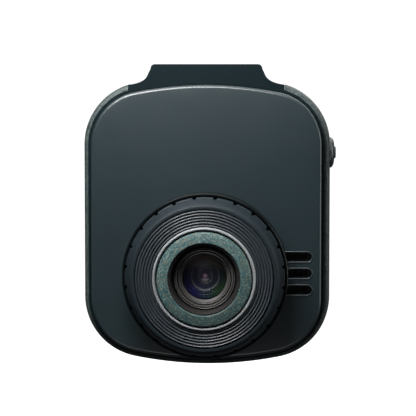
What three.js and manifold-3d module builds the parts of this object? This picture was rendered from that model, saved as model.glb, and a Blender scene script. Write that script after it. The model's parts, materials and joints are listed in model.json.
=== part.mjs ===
// A compact dash camera: a rounded upright housing that hangs from a bracket platform on its top,
// with a lens turret on the front and a display and four buttons on the back.
// Millimetres. +Z is up, the lens looks along -Y, and the origin is the middle of the flat bracket
// land on top of the platform.
import * as THREE from 'three';
import { mergeVertices } from 'three/addons/utils/BufferGeometryUtils.js';
import Module from 'manifold-3d';

const wasm = await Module();
wasm.setup();

// ---------------------------------------------------------------- driving dimensions

const bodyWidth = 54;
const bodyHeight = 63.5;
const cornerRadius = 13.7;
const crownRadius = 80; // the long bow of the top and bottom edges

const platformRise = 2.5; // platform top above the crown of the body
const platformHalfWidth = 12.1;
const platformFootHalf = 17; // where the flared foot meets the body
const landDepth = 4; // flat land in front of the bracket slot
const frameDepth = 15.2;

const gap = 0.15; // between pieces that touch
const slideGap = 0.2; // round a piece that moves

// insets of each skin from the outline of the body
const rimInset = 1.24;
const rimWall = 0.61;
const bandThickness = 1.8;
const frameInset = bandThickness + gap;
const coreInset = 2.9; // inner wall of the frame
const coverInset = rimInset + rimWall + 0.12;

// stations along Y, from the front to the back
const rimFront = -landDepth / 2;
const frameBack = rimFront + frameDepth;
const rimDepth = 1.5;
const coverSeat = rimFront + 1.1;
const coverRise = 2.6; // crown of the front cover ahead of the rim
const coverFront = rimFront - coverRise;
const coverWall = 1.4;
const rearRise = 4;
const rearWall = 1.6;
const rearFace = frameBack + rearRise;

// lens turret
const lensHeight = 20.7; // optical axis above the lowest point of the body
const collarRadius = 17.8;
const collarWall = 0.55;
const collarReach = 6.6; // ahead of the crown of the front cover
const bezelReach = 11.7;
const bezelShoulder = 15.1; // outer radius of the ribbed face
const notchCount = 24;
const notchRadius = 0.55;
const ribCount = 6;
const ribPitch = 0.7;
const lipWidth = 0.75; // bright lip inside the ribs
const trimWidth = 2.25;
const trimReach = 12.6;
const hoodDepth = 3.4;
const lensHeadRadius = 6.55;
const lensThreadRadius = 6;
const lensLength = 16.5;
const glassRadius = 4.75;

// sound slots beside the turret
const slotCount = 3;
const slotPitch = 3.6;
const slotHeight = 2;
const slotLong = 7.9;
const slotMargin = 2.13; // from the outer end of a slot to the edge of the cover

// power button, on the right
const powerRadius = 3.4;
const powerHeight = 46.7;
const powerProud = 0.95;
const powerBossRadius = 1.35;
const powerBossProud = 0.35;
const powerTravel = 0.4;

// ports, on the left
const portHeight = 44.8;
const portLong = 10;
const portTall = 5;
const portProud = 0.2;
const usbLong = 7.6;
const usbTall = 2.8;
const usbWall = 0.35;
const usbDepth = 5.6;
const cardHeight = 24;
const cardLong = 15;
const cardWide = 11;
const cardThick = 1;
const cardRecess = 0.4;

// display and buttons, on the back
const windowWidth = 40;
const windowTall = 31;
const windowThick = 1;
const windowDrop = 7.5; // window top below the crown of the body
const panelWidth = 37.6;
const panelTall = 28.6;
const panelThick = 2;
const menuCount = 4;
const menuPitch = 10.6;
const menuLong = 7.6;
const menuTall = 3.8;
const menuProud = 0.6;
const menuTravel = 0.35;
const menuHeight = 15.2;
const flangeWidth = 0.8;
const flangeThick = 0.7;

// circuit boards
const boardThick = 1;
const boardFront = rimFront + 10.6;
const boardInset = coreInset + 0.6;
const switchTall = 1.7;
const chipThick = 1.2;

// rear screws
const screwRadius = 0.8;
const screwHeadRadius = 1.5;
const screwHeadThick = 0.9;
const screwBossRadius = 2.1;

// ---------------------------------------------------------------- derived places

const crownZ = -platformRise;
const baseZ = crownZ - bodyHeight;
const lensZ = baseZ + lensHeight;
const sideX = bodyWidth / 2;
const slotEnd = sideX - coverInset - slotMargin;
const slotStart = slotEnd - slotLong;
const boardBack = boardFront + boardThick;
const windowTop = crownZ - windowDrop;
const windowZ = windowTop - windowTall / 2;
const menuZ = baseZ + menuHeight;
const powerZ = baseZ + powerHeight;
const portZ = baseZ + portHeight;
const cardZ = baseZ + cardHeight;
const cornerX = sideX - cornerRadius;
const cornerReach = Math.sqrt((crownRadius - cornerRadius) ** 2 - cornerX ** 2);
const cornerTopZ = crownZ - crownRadius + cornerReach;
const cornerBaseZ = baseZ + crownRadius - cornerReach;
const cornerTurn = Math.atan2(cornerReach, cornerX);

// ---------------------------------------------------------------- shape helpers

// Makes a solid of a closed geometry, with its faces turned outwards whichever way it was drawn.
function solid(geometry) {
  geometry.deleteAttribute('normal');
  geometry.deleteAttribute('uv');
  const merged = mergeVertices(geometry, 1e-5);
  const vertProperties = new Float32Array(merged.attributes.position.array);
  const triVerts = new Uint32Array(merged.index.array);
  const body = new wasm.Manifold(new wasm.Mesh({ numProp: 3, vertProperties, triVerts }));
  if (body.volume() > 0) return body;
  triVerts.reverse();
  return new wasm.Manifold(new wasm.Mesh({ numProp: 3, vertProperties, triVerts }));
}

function geometryOf(body) {
  const mesh = body.getMesh();
  const geometry = new THREE.BufferGeometry();
  geometry.setAttribute('position', new THREE.BufferAttribute(mesh.vertProperties, 3));
  geometry.setIndex(new THREE.BufferAttribute(mesh.triVerts, 1));
  geometry.computeVertexNormals();
  return geometry;
}

function arc(centreX, centreZ, radius, from, to, steps) {
  const points = [];
  for (let i = 0; i <= steps; i += 1) {
    const angle = from + ((to - from) * i) / steps;
    points.push([centreX + radius * Math.cos(angle), centreZ + radius * Math.sin(angle)]);
  }
  return points;
}

const cornerSteps = 8;
const crownSteps = 8;

// The outline of the body, set in by a distance: four round corners joined by two bowed edges.
function bodyOutline(inset) {
  const corner = cornerRadius - inset;
  const crown = crownRadius - inset;
  const turn = cornerTurn;
  const crownCentre = crownZ - crownRadius;
  const baseCentre = baseZ + crownRadius;
  return [
    ...arc(cornerX, cornerTopZ, corner, 0, turn, cornerSteps),
    ...arc(0, crownCentre, crown, turn, Math.PI - turn, crownSteps).slice(1, -1),
    ...arc(-cornerX, cornerTopZ, corner, Math.PI - turn, Math.PI, cornerSteps),
    ...arc(-cornerX, cornerBaseZ, corner, Math.PI, Math.PI + turn, cornerSteps),
    ...arc(0, baseCentre, crown, Math.PI + turn, 2 * Math.PI - turn, crownSteps).slice(1, -1),
    ...arc(cornerX, cornerBaseZ, corner, 2 * Math.PI - turn, 2 * Math.PI, cornerSteps),
  ];
}

// A closed solid through a row of rings, each { y, points }, given from the front to the back.
function ringStack(rings) {
  const count = rings[0].points.length;
  const vertices = [];
  const index = [];
  for (const ring of rings) {
    for (const [x, z] of ring.points) vertices.push(x, ring.y, z);
  }
  for (let k = 0; k + 1 < rings.length; k += 1) {
    for (let i = 0; i < count; i += 1) {
      const a = k * count + i;
      const b = k * count + ((i + 1) % count);
      index.push(a, a + count, b, b, a + count, b + count);
    }
  }
  const middleZ = (crownZ + baseZ) / 2;
  const frontCentre = rings.length * count;
  const backCentre = frontCentre + 1;
  const last = (rings.length - 1) * count;
  vertices.push(0, rings[0].y, middleZ, 0, rings[rings.length - 1].y, middleZ);
  for (let i = 0; i < count; i += 1) {
    const next = (i + 1) % count;
    index.push(frontCentre, i, next, backCentre, last + next, last + i);
  }
  const geometry = new THREE.BufferGeometry();
  geometry.setAttribute('position', new THREE.Float32BufferAttribute(vertices, 3));
  geometry.setIndex(index);
  return solid(geometry);
}

// Rings that follow the outline of the body, from [inset, y] pairs.
function bodySkin(stations) {
  return ringStack(stations.map(([inset, y]) => ({ y, points: bodyOutline(inset) })));
}

// Extrudes a shape drawn in X and Z, from yFront back to yBack.
function plate(shape, yFront, yBack, curveSegments = 3) {
  const settings = { depth: yBack - yFront, bevelEnabled: false, curveSegments };
  const geometry = new THREE.ExtrudeGeometry(shape, settings);
  geometry.rotateX(Math.PI / 2);
  geometry.translate(0, yBack, 0);
  return solid(geometry);
}

// Turns a closed profile of [radius, y] points about the optical axis.
function turned(profile, segments = 48) {
  const points = profile.map(([radius, y]) => new THREE.Vector2(radius, y));
  points.push(points[0].clone());
  const geometry = new THREE.LatheGeometry(points, segments);
  geometry.translate(0, 0, lensZ);
  return solid(geometry);
}

// A disc or rod along Y.
function rodY(radius, x, z, yFront, yBack, segments = 24) {
  const geometry = new THREE.CylinderGeometry(radius, radius, yBack - yFront, segments);
  geometry.translate(x, (yFront + yBack) / 2, z);
  return solid(geometry);
}

// A disc or rod along X.
function rodX(radius, y, z, xFrom, xTo, segments = 28) {
  const geometry = new THREE.CylinderGeometry(radius, radius, xTo - xFrom, segments);
  geometry.rotateZ(Math.PI / 2);
  geometry.translate((xFrom + xTo) / 2, y, z);
  return solid(geometry);
}

function box(xFrom, xTo, yFrom, yTo, zFrom, zTo) {
  const geometry = new THREE.BoxGeometry(xTo - xFrom, yTo - yFrom, zTo - zFrom);
  geometry.translate((xFrom + xTo) / 2, (yFrom + yTo) / 2, (zFrom + zTo) / 2);
  return solid(geometry);
}

function roundedRectangle(centreX, centreZ, width, height, radius) {
  const shape = new THREE.Shape();
  const x = centreX - width / 2;
  const z = centreZ - height / 2;
  shape.absarc(x + width - radius, z + radius, radius, -Math.PI / 2, 0);
  shape.absarc(x + width - radius, z + height - radius, radius, 0, Math.PI / 2);
  shape.absarc(x + radius, z + height - radius, radius, Math.PI / 2, Math.PI);
  shape.absarc(x + radius, z + radius, radius, Math.PI, 1.5 * Math.PI);
  shape.closePath();
  return shape;
}

// ---------------------------------------------------------------- materials and scene

const dashCamera = new THREE.Group();

function addPiece(name, body, color, roughness, metalness = 0) {
  const material = new THREE.MeshStandardMaterial({ color, roughness, metalness });
  const mesh = new THREE.Mesh(geometryOf(body), material);
  mesh.name = name;
  dashCamera.add(mesh);
}

const satinBlack = 0x2c3638;
const smoothBlack = 0x1d2627;
const bandGrey = 0x424c4c;
const glossBlack = 0x0c0f10;
const flakeGrey = 0x55655f;
const boardGreen = 0x1d4a35;
const chipBlack = 0x17191a;
const metalGrey = 0x9da1a3;
const glassTint = 0x20304a;
const pipeClear = 0xd8e4e8;
const ledCream = 0xf2f0dc;
const sensorGrey = 0x39424e;
const ribbonAmber = 0xb97a2a;
const cellSilver = 0x8e949a;

// ---------------------------------------------------------------- housing

// Height of the body's outline above a half-width that lies on its top corner.
function shoulderZ(x, inset) {
  const radius = cornerRadius - inset;
  return cornerTopZ + Math.sqrt(radius ** 2 - (x - cornerX) ** 2);
}

// The platform seen from the front: flat top, small round corners, hollow flared sides.
function platformShape(inset) {
  const round = 0.9;
  const footZ = shoulderZ(platformFootHalf, inset);
  const waistX = platformHalfWidth + 0.6;
  const waistZ = -2.2;
  const hollowZ = -4;
  const shape = new THREE.Shape();
  shape.moveTo(-platformFootHalf, crownZ - 5);
  shape.lineTo(platformFootHalf, crownZ - 5);
  shape.lineTo(platformFootHalf, footZ);
  shape.quadraticCurveTo(waistX + 0.7, hollowZ, waistX, waistZ);
  shape.lineTo(platformHalfWidth, -round);
  shape.absarc(platformHalfWidth - round, -round, round, 0, Math.PI / 2);
  shape.absarc(round - platformHalfWidth, -round, round, Math.PI / 2, Math.PI);
  shape.lineTo(-waistX, waistZ);
  shape.quadraticCurveTo(-waistX - 0.7, hollowZ, -platformFootHalf, footZ);
  shape.closePath();
  return shape;
}

const rimBack = rimFront + rimDepth;
const rearFlange = frameBack - rimDepth;

// The T-shaped slot that the windscreen bracket slides into from behind.
const slotNeckHalf = 4;
const slotWideHalf = 7;
const slotLip = 1.2;
const slotFloor = -3.1;

function bracketSlot() {
  const front = landDepth / 2;
  const back = frameBack + 1;
  const neck = box(-slotNeckHalf, slotNeckHalf, front, back, slotFloor, 1);
  const wide = box(-slotWideHalf, slotWideHalf, front, back, slotFloor, -slotLip);
  return neck.add(wide);
}

const screwTurn = Math.PI / 4;
const screwReach = cornerRadius - coreInset - 1.4;
const screwX = cornerX + screwReach * Math.cos(screwTurn);
const screwZ = cornerBaseZ - screwReach * Math.sin(screwTurn);
const screwTip = frameBack - 6;

function mountFrame() {
  const outer = bodySkin([
    [rimInset, rimFront],
    [rimInset, rimBack],
    [frameInset, rimBack],
    [frameInset, rearFlange],
    [rimInset, rearFlange],
    [rimInset, frameBack],
  ]);
  const bandFront = rimBack + gap;
  const platform = plate(platformShape(rimInset), rimFront, frameBack)
    .add(plate(platformShape(0.1), bandFront, rearFlange - gap));
  const hollow = bodySkin([
    [rimInset + rimWall, rimFront - 1],
    [rimInset + rimWall, coverSeat],
    [coreInset, coverSeat],
    [coreInset, frameBack + 1],
  ]);
  let frame = outer.add(platform).subtract(hollow).subtract(bracketSlot());
  for (const side of [-1, 1]) {
    const boss = rodY(screwBossRadius, side * screwX, screwZ, screwTip - 1, frameBack);
    const bore = rodY(screwRadius + 0.05, side * screwX, screwZ, screwTip - 0.4, frameBack + 1);
    frame = frame.add(boss).subtract(bore);
  }
  return frame
    .subtract(powerOpening())
    .subtract(portOpening())
    .subtract(cardOpening());
}

// Half the width of a skin at a height, above or below where its top corners start.
function halfWidthAt(z, inset) {
  const rise = Math.max(0, z - cornerTopZ);
  return cornerX + Math.sqrt((cornerRadius - inset) ** 2 - rise ** 2);
}

const powerFlange = powerRadius + 0.7;
const powerFlangeOuter = halfWidthAt(powerZ + powerFlange, coreInset) - slideGap;
const powerFlangeInner = powerFlangeOuter - flangeThick;
const powerY = boardFront - powerFlange - 0.4;

function powerOpening() {
  return rodX(powerRadius + slideGap, powerY, powerZ, sideX - 6, sideX + 2);
}

const portY = boardFront - usbTall / 2 - 0.05;

function portOpening() {
  const y = portY;
  const tall = portTall / 2 + gap;
  const long = portLong / 2 + gap;
  return box(-sideX - 1, -sideX + 6, y - tall, y + tall, portZ - long, portZ + long);
}

const cardY = boardFront - 1.1;
const cardSlotMargin = 0.3;

function cardOpening() {
  const tall = cardThick / 2 + cardSlotMargin;
  const long = cardWide / 2 + cardSlotMargin;
  return box(-sideX - 1, -sideX + 6, cardY - tall, cardY + tall, cardZ - long, cardZ + long);
}

// The grained wrap round both sides and the bottom, open where the platform stands.
function sideBand() {
  const front = rimBack + gap;
  const back = rearFlange - gap;
  const bulge = [
    [0.95, 0],
    [0.42, 0.7],
    [0.1, 1.9],
    [0, 3.4],
  ];
  const outer = bodySkin([
    ...bulge.map(([inset, y]) => [inset, front + y]),
    ...bulge.map(([inset, y]) => [inset, back - y]).reverse(),
  ]);
  const inner = bodySkin([
    [bandThickness, front - 1],
    [bandThickness, back + 1],
  ]);
  const foot = platformFootHalf + gap;
  const top = box(-foot, foot, front - 1, back + 1, cornerTopZ, 1);
  return outer
    .subtract(inner)
    .subtract(top)
    .subtract(powerOpening())
    .subtract(portOpening())
    .subtract(cardOpening());
}

// Fillet rings from a side wall round to a face, as [inset, distance back from the face].
function fillet(radius, steps) {
  const rings = [];
  for (let i = 0; i <= steps; i += 1) {
    const angle = (Math.PI / 2) * (i / steps);
    rings.push([radius * (1 - Math.sin(angle)), radius * (1 - Math.cos(angle))]);
  }
  return rings;
}

const coverFillet = 1.3;
const coverCrown = 0.5; // how far the middle of the cover stands ahead of its fillet
const coverInner = coverFront + coverCrown + coverWall;

function scaledOutline(inset, scale) {
  const middleZ = (crownZ + baseZ) / 2;
  return bodyOutline(inset).map(([x, z]) => [x * scale, middleZ + (z - middleZ) * scale]);
}

// The front cover's outer skin, grown outwards by a clearance.
function coverSkin(grow) {
  const edge = coverInset - grow;
  const front = coverFront - grow;
  const shoulder = front + coverCrown;
  const crown = [0.35, 0.7].map((scale) => ({
    y: front + coverCrown * scale ** 2,
    points: scaledOutline(edge + coverFillet, scale),
  }));
  const round = fillet(coverFillet, 3).map(([inset, back]) => ({
    y: shoulder + back,
    points: bodyOutline(edge + inset),
  }));
  const wall = { y: coverSeat - gap, points: bodyOutline(edge) };
  return ringStack([...crown, ...round, wall]);
}

function soundSlot(index, grow = 0) {
  const z = lensZ + (index - (slotCount - 1) / 2) * slotPitch;
  const width = slotEnd - slotStart + 2 * grow;
  const shape = roundedRectangle((slotStart + slotEnd) / 2, z, width, slotHeight + 2 * grow, 0.95);
  return plate(shape, coverFront - 1, coverSeat, 6);
}

function frontCover() {
  const hollow = bodySkin([
    [coverInset + coverWall + 1.2, coverInner],
    [coverInset + coverWall, coverInner + 0.8],
    [coverInset + coverWall, coverSeat],
  ]);
  let cover = coverSkin(0).subtract(hollow).subtract(rodY(15.4, 0, lensZ, coverFront - 1, 0, 48));
  for (let i = 0; i < slotCount; i += 1) cover = cover.subtract(soundSlot(i));
  return cover;
}

// ---------------------------------------------------------------- lens turret

const collarFront = coverFront - collarReach;
const bezelFront = coverFront - bezelReach;
const bezelRadius = collarRadius - collarWall - 0.2;
const ribInner = bezelShoulder - ribCount * ribPitch;
const lipInner = ribInner - lipWidth;
const trimFront = coverFront - trimReach;
const trimOuter = lipInner - 0.35;
const trimInner = trimOuter - trimWidth;
const hoodBack = trimFront + hoodDepth;

// The fixed collar stands on the crowned cover, so its foot is cut to the cover's skin.
function lensCollar() {
  const inner = collarRadius - collarWall;
  const tube = turned([
    [collarRadius, coverFront + 2.4],
    [collarRadius, collarFront + 0.5],
    [collarRadius - 0.2, collarFront],
    [inner, collarFront],
    [inner, coverFront - 0.9],
    [14.4, coverFront - 0.9],
    [14.4, coverFront + 2.4],
  ]);
  return tube.subtract(coverSkin(gap));
}

function lensBezel() {
  const back = coverFront - 1.1;
  const shoulder = collarFront + 0.3;
  const rise = shoulder - bezelFront;
  const swell = [];
  for (let i = 0; i <= 6; i += 1) {
    const angle = (Math.PI / 2) * (i / 6);
    const radius = bezelShoulder + (bezelRadius - bezelShoulder) * Math.cos(angle) ** 1.2;
    swell.push([radius, shoulder - rise * Math.sin(angle)]);
  }
  const ring = turned([
    [bezelRadius - 0.6, back],
    [bezelRadius - 0.6, shoulder + 0.9],
    [bezelRadius, shoulder + 0.6],
    ...swell,
    [bezelShoulder - 0.3, bezelFront],
    [bezelShoulder - 0.3, bezelFront + 1.4],
    [bezelShoulder - 1.2, bezelFront + 1.4],
    [bezelShoulder - 1.2, back],
  ]);
  let cut = ring;
  for (let i = 0; i < notchCount; i += 1) {
    const angle = (2 * Math.PI * (i + 0.5)) / notchCount;
    const x = (bezelRadius + 0.12) * Math.cos(angle);
    const z = lensZ + (bezelRadius + 0.12) * Math.sin(angle);
    cut = cut.subtract(rodY(notchRadius, x, z, shoulder - 1.1, shoulder + 1, 8));
  }
  return cut;
}

// The face with the concentric ribs, ending inwards in a plain raised lip.
function ribbedRing() {
  const outer = bezelShoulder - 0.3 - gap;
  const valley = bezelFront + 0.35;
  const profile = [[outer, bezelFront + 1.2], [outer, valley]];
  for (let i = 0; i < ribCount; i += 1) {
    const crest = outer - ribPitch * (i + 0.5);
    const top = bezelFront + 0.02;
    profile.push([crest + 0.2 * ribPitch, top], [crest - 0.2 * ribPitch, top]);
    profile.push([crest - 0.5 * ribPitch, valley]);
  }
  profile.push([lipInner + 0.55, bezelFront - 0.35], [lipInner + 0.15, bezelFront - 0.45]);
  profile.push([lipInner, bezelFront - 0.3], [lipInner, bezelFront + 1.2]);
  return turned(profile);
}

function trimRing() {
  return turned([
    [trimOuter, bezelFront + 1.2],
    [trimOuter, trimFront + 0.35],
    [trimOuter - 0.25, trimFront + 0.1],
    [trimInner + 0.2, trimFront],
    [trimInner, trimFront + 0.2],
    [trimInner, trimFront + 1],
    [trimInner + 1, trimFront + 1.2],
    [trimInner + 1, bezelFront + 1.2],
  ]);
}

function lensHood() {
  const mouth = trimInner - gap;
  const throat = lensHeadRadius + 0.25;
  return turned([
    [mouth, trimFront + 0.5],
    [mouth, trimFront + 1.3],
    [trimInner + 0.8, trimFront + 1.5],
    [trimInner + 0.8, bezelFront + 1.35],
    [bezelShoulder - 1.4, bezelFront + 1.55],
    [bezelShoulder - 1.4, bezelFront + 2.3],
    [throat + 0.8, hoodBack + 0.4],
    [throat + 0.8, hoodBack + 3],
    [throat, hoodBack + 3],
    [throat, hoodBack],
    [mouth - 0.25, trimFront + 0.5],
  ], 36);
}

const barrelFront = hoodBack - 0.4;
const barrelBack = barrelFront + lensLength;
const headDepth = 4.6;
const bore = glassRadius + 0.15;

function lensBarrel() {
  return turned([
    [lensHeadRadius - 0.2, barrelFront],
    [lensHeadRadius, barrelFront + 0.25],
    [lensHeadRadius, barrelFront + headDepth],
    [lensThreadRadius, barrelFront + headDepth + 0.4],
    [lensThreadRadius, barrelBack],
    [3.4, barrelBack],
    [3.4, barrelBack - 1],
    [bore, barrelBack - 1.6],
    [bore, barrelFront + 2.2],
    [lensHeadRadius - 0.75, barrelFront + 2],
    [lensHeadRadius - 0.75, barrelFront + 0.3],
  ], 28);
}

function lensRetainer() {
  const outer = lensHeadRadius - 0.75 - gap;
  return turned([
    [outer, barrelFront + 0.5],
    [outer, barrelFront + 1.7],
    [glassRadius - 0.35, barrelFront + 1.7],
    [glassRadius - 0.35, barrelFront + 1.2],
    [glassRadius + 0.2, barrelFront + 0.35],
  ], 28);
}

// A lens element with a bowed front and back, from its edge to the optical axis.
function lensElement(edgeFront, edgeBack, frontBow, backBow) {
  const radius = glassRadius;
  const steps = 3;
  const profile = [];
  for (let i = 0; i <= steps; i += 1) {
    const r = (radius * i) / steps;
    profile.push([r, edgeFront - frontBow * (1 - (r / radius) ** 2)]);
  }
  for (let i = steps; i >= 0; i -= 1) {
    const r = (radius * i) / steps;
    profile.push([r, edgeBack + backBow * (1 - (r / radius) ** 2)]);
  }
  return turned(profile, 20);
}

function frontElement() {
  return lensElement(barrelFront + 2.6, barrelFront + 3.4, 1, -0.2);
}

function middleElement() {
  return lensElement(barrelFront + 7, barrelFront + 8, 0.5, 0.6);
}

function rearElement() {
  return lensElement(barrelFront + 11, barrelFront + 12, 0.8, 0.4);
}

const holderBack = barrelBack + 2.6;
const sensorBoardFront = holderBack + gap;

function lensHolder() {
  const wall = 1.3;
  const tube = turned([
    [lensThreadRadius + gap, holderBack - 9],
    [lensThreadRadius + gap + wall, holderBack - 9],
    [lensThreadRadius + gap + wall, holderBack],
    [lensThreadRadius + gap, holderBack],
  ], 32);
  const half = 8.5;
  const foot = box(-half, half, holderBack - 2, holderBack, lensZ - half, lensZ + half);
  const well = rodY(lensThreadRadius + gap, 0, lensZ, holderBack - 10, holderBack + 1, 32);
  return tube.add(foot).subtract(well);
}

function lensLockRing() {
  const inner = lensThreadRadius + gap;
  const outer = inner + 1.7;
  const back = holderBack - 9 - gap;
  return turned([[outer, back - 1.4], [outer, back], [inner, back], [inner, back - 1.4]], 32);
}

// ---------------------------------------------------------------- back of the camera

const windowRadius = 3;
const screwHeadFront = rearFace - 0.5 - screwHeadThick;

function menuX(index) {
  return (index - (menuCount - 1) / 2) * menuPitch;
}

function menuShape(index, grow) {
  const round = (menuTall + 2 * grow) / 2 - 0.05;
  return roundedRectangle(menuX(index), menuZ, menuLong + 2 * grow, menuTall + 2 * grow, round);
}

const pipeZ = (windowTop - windowTall + menuZ + menuTall / 2) / 2;
const pipeRadius = 0.9;

function rearCover() {
  const radius = 2.6;
  const outer = bodySkin([
    [rimInset, frameBack + gap],
    ...fillet(radius, 4).map(([inset, back]) => [rimInset + inset, rearFace - back]).reverse(),
  ]);
  const innerFace = rearFace - rearWall;
  const hollow = bodySkin([
    [coreInset, frameBack],
    [coreInset, innerFace - 1],
    [coreInset + 1.2, innerFace],
  ]);
  const rebate = windowThick + gap;
  const seat = roundedRectangle(0, windowZ, windowWidth + 2 * gap, windowTall + 2 * gap, windowRadius);
  const view = roundedRectangle(0, windowZ, windowWidth - 4, windowTall - 4, windowRadius);
  let cover = outer
    .subtract(hollow)
    .subtract(plate(seat, rearFace - rebate, rearFace + 1))
    .subtract(plate(view, innerFace - 1, rearFace));
  for (const side of [-1, 1]) {
    const post = rodY(screwBossRadius, side * screwX, screwZ, frameBack + gap, innerFace + 0.2);
    const shank = rodY(screwRadius + gap, side * screwX, screwZ, frameBack, rearFace + 1);
    const recess = rodY(screwHeadRadius + gap, side * screwX, screwZ, screwHeadFront - gap, rearFace + 1);
    cover = cover.add(post).subtract(shank).subtract(recess);
  }
  for (let i = 0; i < menuCount; i += 1) {
    cover = cover.subtract(plate(menuShape(i, slideGap), innerFace - 1, rearFace + 1));
  }
  return cover.subtract(rodY(pipeRadius + gap, 0, pipeZ, innerFace - 1, rearFace + 1, 20));
}

function displayWindow() {
  const shape = roundedRectangle(0, windowZ, windowWidth, windowTall, windowRadius);
  return plate(shape, rearFace - windowThick, rearFace - 0.02);
}

const panelBack = rearFace - rearWall - gap;

function displayPanel() {
  const shape = roundedRectangle(0, windowZ, panelWidth, panelTall, 0.6);
  return plate(shape, panelBack - panelThick, panelBack, 4);
}

const switchBack = boardBack + gap + switchTall;
const stemGap = menuTravel + 0.1;

function menuButton(index) {
  const flangeBack = rearFace - rearWall - gap;
  const flangeFront = flangeBack - flangeThick;
  const cap = plate(menuShape(index, 0), flangeFront, rearFace + menuProud - 0.3);
  const crown = plate(menuShape(index, -0.35), flangeFront, rearFace + menuProud);
  const flange = plate(menuShape(index, flangeWidth), flangeFront, flangeBack);
  const stem = rodY(1.1, menuX(index), menuZ, switchBack + stemGap, flangeBack, 16);
  return cap.add(crown).add(flange).add(stem);
}

function lightPipe() {
  return rodY(pipeRadius, 0, pipeZ, switchBack + 0.6, rearFace + 0.1, 20);
}

function statusLed() {
  return box(-0.8, 0.8, boardBack + gap, boardBack + 0.9, pipeZ - 0.5, pipeZ + 0.5);
}

function menuSwitch(index) {
  const x = menuX(index);
  const half = 1.8;
  const foot = boardBack + gap;
  const base = box(x - half, x + half, foot, switchBack - 0.5, menuZ - half, menuZ + half);
  return base.add(rodY(0.9, x, menuZ, switchBack - 0.6, switchBack, 16));
}

function rearScrew(side) {
  const x = side * screwX;
  const head = rodY(screwHeadRadius, x, screwZ, screwHeadFront, screwHeadFront + screwHeadThick);
  const shank = rodY(screwRadius, x, screwZ, screwTip, screwHeadFront + 0.3, 16);
  const top = screwHeadFront + screwHeadThick;
  const blade = 0.22;
  const arm = 0.85;
  const across = box(x - arm, x + arm, top - 0.5, top + 1, screwZ - blade, screwZ + blade);
  const upright = box(x - blade, x + blade, top - 0.5, top + 1, screwZ - arm, screwZ + arm);
  return head.add(shank).subtract(across).subtract(upright);
}

// ---------------------------------------------------------------- side controls and ports

const powerSwitchX = powerFlangeInner - 3;

function powerButton() {
  const geometry = new THREE.LatheGeometry([
    new THREE.Vector2(0, powerFlangeInner),
    new THREE.Vector2(powerFlange, powerFlangeInner),
    new THREE.Vector2(powerFlange, powerFlangeOuter),
    new THREE.Vector2(powerRadius, powerFlangeOuter),
    new THREE.Vector2(powerRadius, sideX + 0.25),
    new THREE.Vector2(powerRadius - 0.3, sideX + 0.6),
    new THREE.Vector2(powerRadius - 1.1, sideX + powerProud - 0.1),
    new THREE.Vector2(powerBossRadius, sideX + powerProud),
    new THREE.Vector2(powerBossRadius - 0.1, sideX + powerProud + powerBossProud),
    new THREE.Vector2(0, sideX + powerProud + powerBossProud),
  ], 28);
  geometry.rotateZ(-Math.PI / 2);
  geometry.translate(0, powerY, powerZ);
  const stemTip = powerSwitchX + powerTravel + gap;
  const stem = rodX(1, powerY, powerZ, stemTip, powerFlangeInner + 0.2, 16);
  return solid(geometry).add(stem);
}

function powerSwitch() {
  const half = 1.9;
  const back = powerSwitchX - 0.5;
  const foot = boardFront - gap;
  const base = box(back - 1.6, back, foot - 3.6, foot, powerZ - half, powerZ + half);
  return base.add(rodX(0.8, powerY, powerZ, back - 0.1, powerSwitchX, 16));
}

// A block centred on the port, from one X to another, given its half sizes.
function portBlock(from, to, tall, long) {
  return box(from, to, portY - tall, portY + tall, portZ - long, portZ + long);
}

function usbSurround() {
  const outer = -sideX - portProud;
  const inner = -sideX + coreInset;
  const block = portBlock(outer, inner, portTall / 2, portLong / 2);
  return block.subtract(portBlock(outer - 1, inner + 1, usbTall / 2 + gap, usbLong / 2 + gap));
}

const usbMouth = -sideX + 0.8;

function usbReceptacle() {
  const end = usbMouth + usbDepth;
  const shell = portBlock(usbMouth, end, usbTall / 2, usbLong / 2);
  return shell.subtract(portBlock(usbMouth - 1, end - 0.6, usbTall / 2 - usbWall, usbLong / 2 - usbWall));
}

function usbTongue() {
  const long = usbLong / 2 - usbWall - 1;
  const root = usbMouth + usbDepth - 0.6 - gap;
  return box(usbMouth + 0.8, root, portY - 0.4, portY + 0.35, portZ - long, portZ + long);
}

const cardMouth = -sideX + cardRecess;

// A block centred on the card slot, from one X to another, given its half sizes.
function cardBlock(from, to, tall, long) {
  return box(from, to, cardY - tall, cardY + tall, cardZ - long, cardZ + long);
}

function cardSocket() {
  const mouth = -sideX + coreInset + 0.2;
  const end = cardMouth + cardLong + 1.4;
  const block = cardBlock(mouth, end, 0.95, cardWide / 2 + 1.2);
  return block.subtract(cardBlock(mouth - 1, end - 0.9, cardThick / 2 + 0.12, cardWide / 2 + 0.2));
}

function memoryCard() {
  const half = cardThick / 2;
  const shape = new THREE.Shape();
  const x = cardMouth;
  const low = cardZ - cardWide / 2;
  const high = cardZ + cardWide / 2;
  shape.moveTo(x, low);
  shape.lineTo(x + cardLong, low);
  shape.lineTo(x + cardLong, high - 1.3);
  shape.lineTo(x + cardLong - 6, high - 1.3);
  shape.lineTo(x + cardLong - 7.3, high);
  shape.lineTo(x, high);
  shape.closePath();
  return plate(shape, cardY - half, cardY + half);
}

// ---------------------------------------------------------------- boards and what they carry

function mainBoard() {
  let board = bodySkin([[boardInset, boardFront], [boardInset, boardBack]]);
  for (const side of [-1, 1]) {
    const notch = rodY(screwBossRadius + gap, side * screwX, screwZ, boardFront - 1, boardBack + 1);
    board = board.subtract(notch);
  }
  return board;
}

function chip(x, z, width, height, thick = chipThick) {
  const back = boardFront - gap;
  return box(x - width / 2, x + width / 2, back - thick, back, z - height / 2, z + height / 2);
}

function sensorBoard() {
  const half = 9;
  return box(-half, half, sensorBoardFront, sensorBoardFront + boardThick, lensZ - half, lensZ + half);
}

function imageSensor() {
  const half = 3.6;
  const back = sensorBoardFront - gap;
  return box(-half, half, back - 1.1, back, lensZ - half, lensZ + half);
}

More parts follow.
